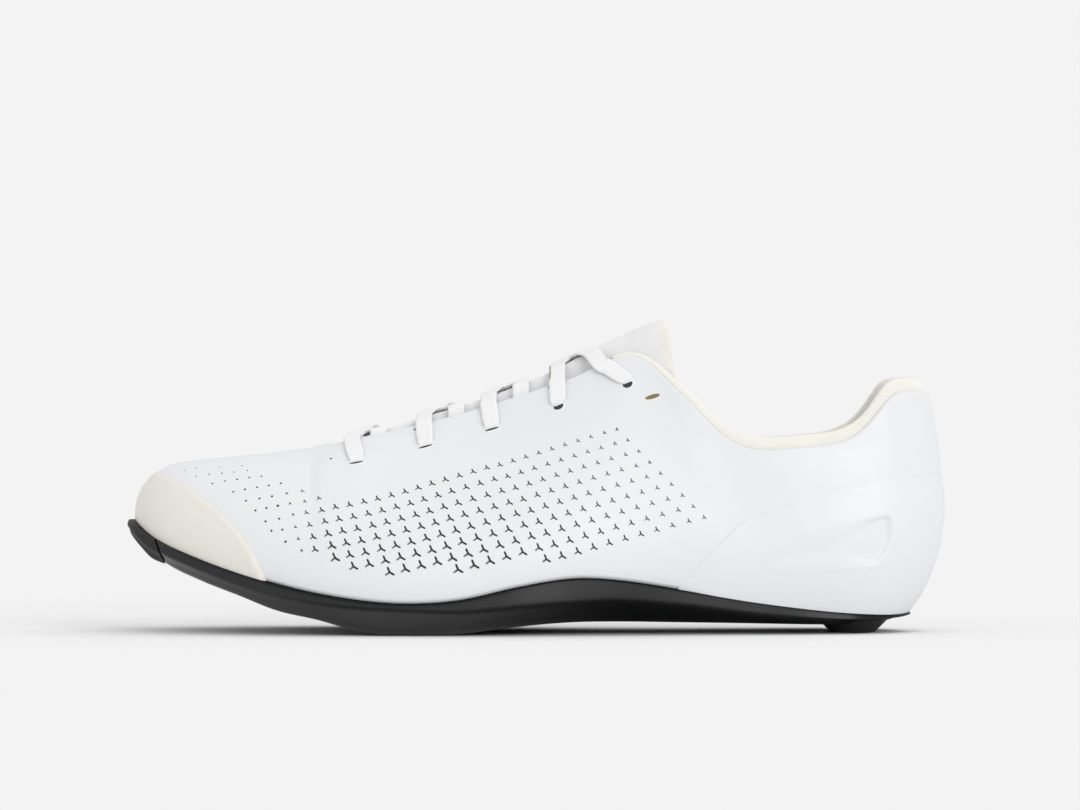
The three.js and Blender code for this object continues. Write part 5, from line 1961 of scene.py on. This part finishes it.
class Wardrobe:
    """All the finishes of the shoe."""

    def __init__(self) -> None:
        """Makes the materials."""
        effects = Effects()
        skin = (0.735, 0.742, 0.757), (0.75, 0.757, 0.772)
        self.upper = Finish("white_microfibre", *skin, (0.38, 0.5), 18.0, 1500.0, 0.00002,
                            subsurface=0.06).build(effects)
        self.lining = Finish("lining_cloth", (0.72, 0.72, 0.71), (0.78, 0.78, 0.77), (0.8, 0.95),
                             30.0, 1300.0, 0.00012, knit=True).build(effects)
        self.toe = Finish("cream_rubber", (0.735, 0.712, 0.655), (0.75, 0.73, 0.68), (0.42, 0.55),
                          22.0, 1400.0, 0.000025, subsurface=0.08).build(effects)
        self.counter = Finish("counter_resin", *skin, (0.36, 0.46), 18.0, 1800.0, 0.00001,
                              subsurface=0.06).build(effects)
        self.collar = Finish("cream_nap", (0.88, 0.865, 0.80), (0.91, 0.90, 0.85), (0.85, 1.0),
                             60.0, 1400.0, 0.00006, knit=True, sheen=0.2).build(effects)
        self.footbed = Finish("footbed_cloth", (0.62, 0.62, 0.61), (0.67, 0.67, 0.66), (0.85, 1.0),
                              40.0, 1500.0, 0.00008).build(effects)
        self.sole = self.composite(effects)
        self.rubber = Finish("black_tread", (0.010, 0.010, 0.011), (0.014, 0.014, 0.015), (0.5, 0.66),
                             30.0, 1200.0, 0.00005, specular=0.3).build(effects)
        self.tongue = self.two_cloths(effects)
        self.lace = self.webbing()
        # Perforation inlays: dark painted shade of the holes' insides, lighter where a hole's far wall would
        # be lit.
        self.cut = self.marked("perforation_painted_shade", "shade", (0.012, 0.012, 0.013), (0.32, 0.32, 0.33))
        self.eyelet = self.eyelet_rim()

    @staticmethod
    def composite(effects: Effects) -> bpy.types.Material:
        """Black moulded composite whose clear coat, set by the satin mark, paints shade on the wall and
        undercut and a brighter reflection at the ball.
        """
        material = Finish("black_composite", (0.004, 0.0042, 0.0048), (0.006, 0.0062, 0.0068),
                          (0.3, 0.42), 20.0, 1600.0, 0.00001, specular=0.02).build(effects)
        tree = material.node_tree
        shader = tree.nodes["Principled BSDF"]
        tree.links.new(mark_of(tree, "satin"), shader.inputs["Coat Weight"])
        set_inputs(shader, Coat_Roughness=0.25, Coat_IOR=1.8)
        return material

    @staticmethod
    def marked(name: str, mark: str, low: Sequence[float], high: Sequence[float]) -> bpy.types.Material:
        """A matt finish between two colours by a mark kept at the corners."""
        material, tree, shader = new_material(name)
        colour = mixed(tree, mark_of(tree, mark), opaque(low), opaque(high))
        tree.links.new(colour, shader.inputs["Base Color"])
        set_inputs(shader, Roughness=0.8)
        return material

    @staticmethod
    def eyelet_rim() -> bpy.types.Material:
        """White pressed rim, the hole's middle painted dark as its shade, and the olive backing that shows in
        the spare hole.
        """
        material, tree, shader = new_material("eyelet_rim_painted_hole_shade")
        inner = mixed(tree, mark_of(tree, "trim"), opaque((0.02, 0.02, 0.022)), opaque(OLIVE))
        colour = mixed(tree, mark_of(tree, "hole"), opaque((0.81, 0.815, 0.83)), inner)
        tree.links.new(colour, shader.inputs["Base Color"])
        set_inputs(shader, Roughness=0.5)
        return material

    @staticmethod
    def two_cloths(effects: Effects) -> bpy.types.Material:
        """White tongue cloth that turns into cream nap where the lining shows."""
        material = Finish("tongue_cloth", (0.84, 0.84, 0.85), (0.88, 0.88, 0.89), (0.75, 0.9), 40.0,
                          1500.0, 0.00005, knit=True, sheen=0.1).build(effects)
        tree = material.node_tree
        shader = tree.nodes["Principled BSDF"]
        cloth = shader.inputs["Base Color"].links[0].from_socket
        colour = mixed(tree, mark_of(tree, "lining"), cloth, opaque((1.0, 0.98, 0.895)), "MULTIPLY")
        tree.links.new(colour, shader.inputs["Base Color"])
        return material

    @staticmethod
    def webbing() -> bpy.types.Material:
        """Flat woven lace: ribs along it and a fine weft across, read from the marks along the strip, its
        grey darker in the weave's valleys as painted shade.
        """
        material, tree, shader = new_material("lace_webbing")
        weft = maths(tree, "SINE", maths(tree, "MULTIPLY", mark_of(tree, "run"), 9.0))
        warp = maths(tree, "COSINE", maths(tree, "MULTIPLY", mark_of(tree, "across"), 31.4))
        place = add_node(tree, "TexCoord").outputs["Object"]
        fuzz = add_node(tree, "TexNoise", Vector=place, Scale=1400.0, Detail=4.0)
        weave = maths(tree, "MULTIPLY_ADD", warp, 0.5, fuzz.outputs["Fac"])
        height = maths(tree, "MULTIPLY_ADD", weft, 0.35, weave)
        # The cloth's grey follows the weave's height: painted shade in the valleys.
        shaded_grey = add_node(tree, "MapRange", i0=height, i1=-0.4, i2=1.4, i3=0.74, i4=0.92).outputs[0]
        cloth = add_node(tree, "CombineColor", i0=shaded_grey, i1=shaded_grey, i2=shaded_grey).outputs[0]
        colour = mixed(tree, mark_of(tree, "trim"), cloth, opaque(OLIVE))
        tree.links.new(colour, shader.inputs["Base Color"])
        bump = add_node(tree, "Bump", Height=height, Strength=1.0, Distance=0.00006)
        tree.links.new(bump.outputs[0], shader.inputs["Normal"])
        set_inputs(shader, Roughness=0.75, Sheen_Weight=0.1)
        return material


def main() -> None:
    """Builds the shoe's looks, its studio and its camera."""
    logging.basicConfig(level=logging.INFO, format="%(name)s: %(message)s")
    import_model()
    VIEW.build()
    Studio().build()
    looks = Wardrobe()

    upper = Upper()
    skin = joined("upper_skin", [upper.skin(), *upper.rims()], MERGE_SKIN)
    dress(skin, looks.upper, ["upper"])
    dress(upper.lining(), looks.lining)
    perforations = Perforations(PerforationChart())
    for side in Side:
        dress(perforations.build(side, upper.relief), looks.cut)
        dress(EyeletRow(side).build(upper.relief), looks.eyelet)
    dress(HeelCounter().build(), looks.counter, ["heel_counter"])
    dress(ToeCap().build(), looks.toe, ["toe_cap"])

    sole = SoleUnit()
    dress(sole.plate(), looks.sole, ["sole"])
    dress(sole.bumper(), looks.rubber, ["toe_bumper"])
    dress(sole.pad(), looks.rubber, ["heel_pad"])

    collar = dress(Collar().build(), looks.collar, ["collar"])
    dress(Footbed().build(), looks.footbed, ["insole"])
    tongue = Tongue()
    pad = dress(tongue.build(), looks.tongue, ["tongue"])
    lacing = Lacing(tongue=tongue)
    for index in range(lacing.pairs - 1):
        dress(lacing.build(index), looks.lace, [f"lace_crossing_{index + 1}"])


if __name__ == "__main__":
    main()
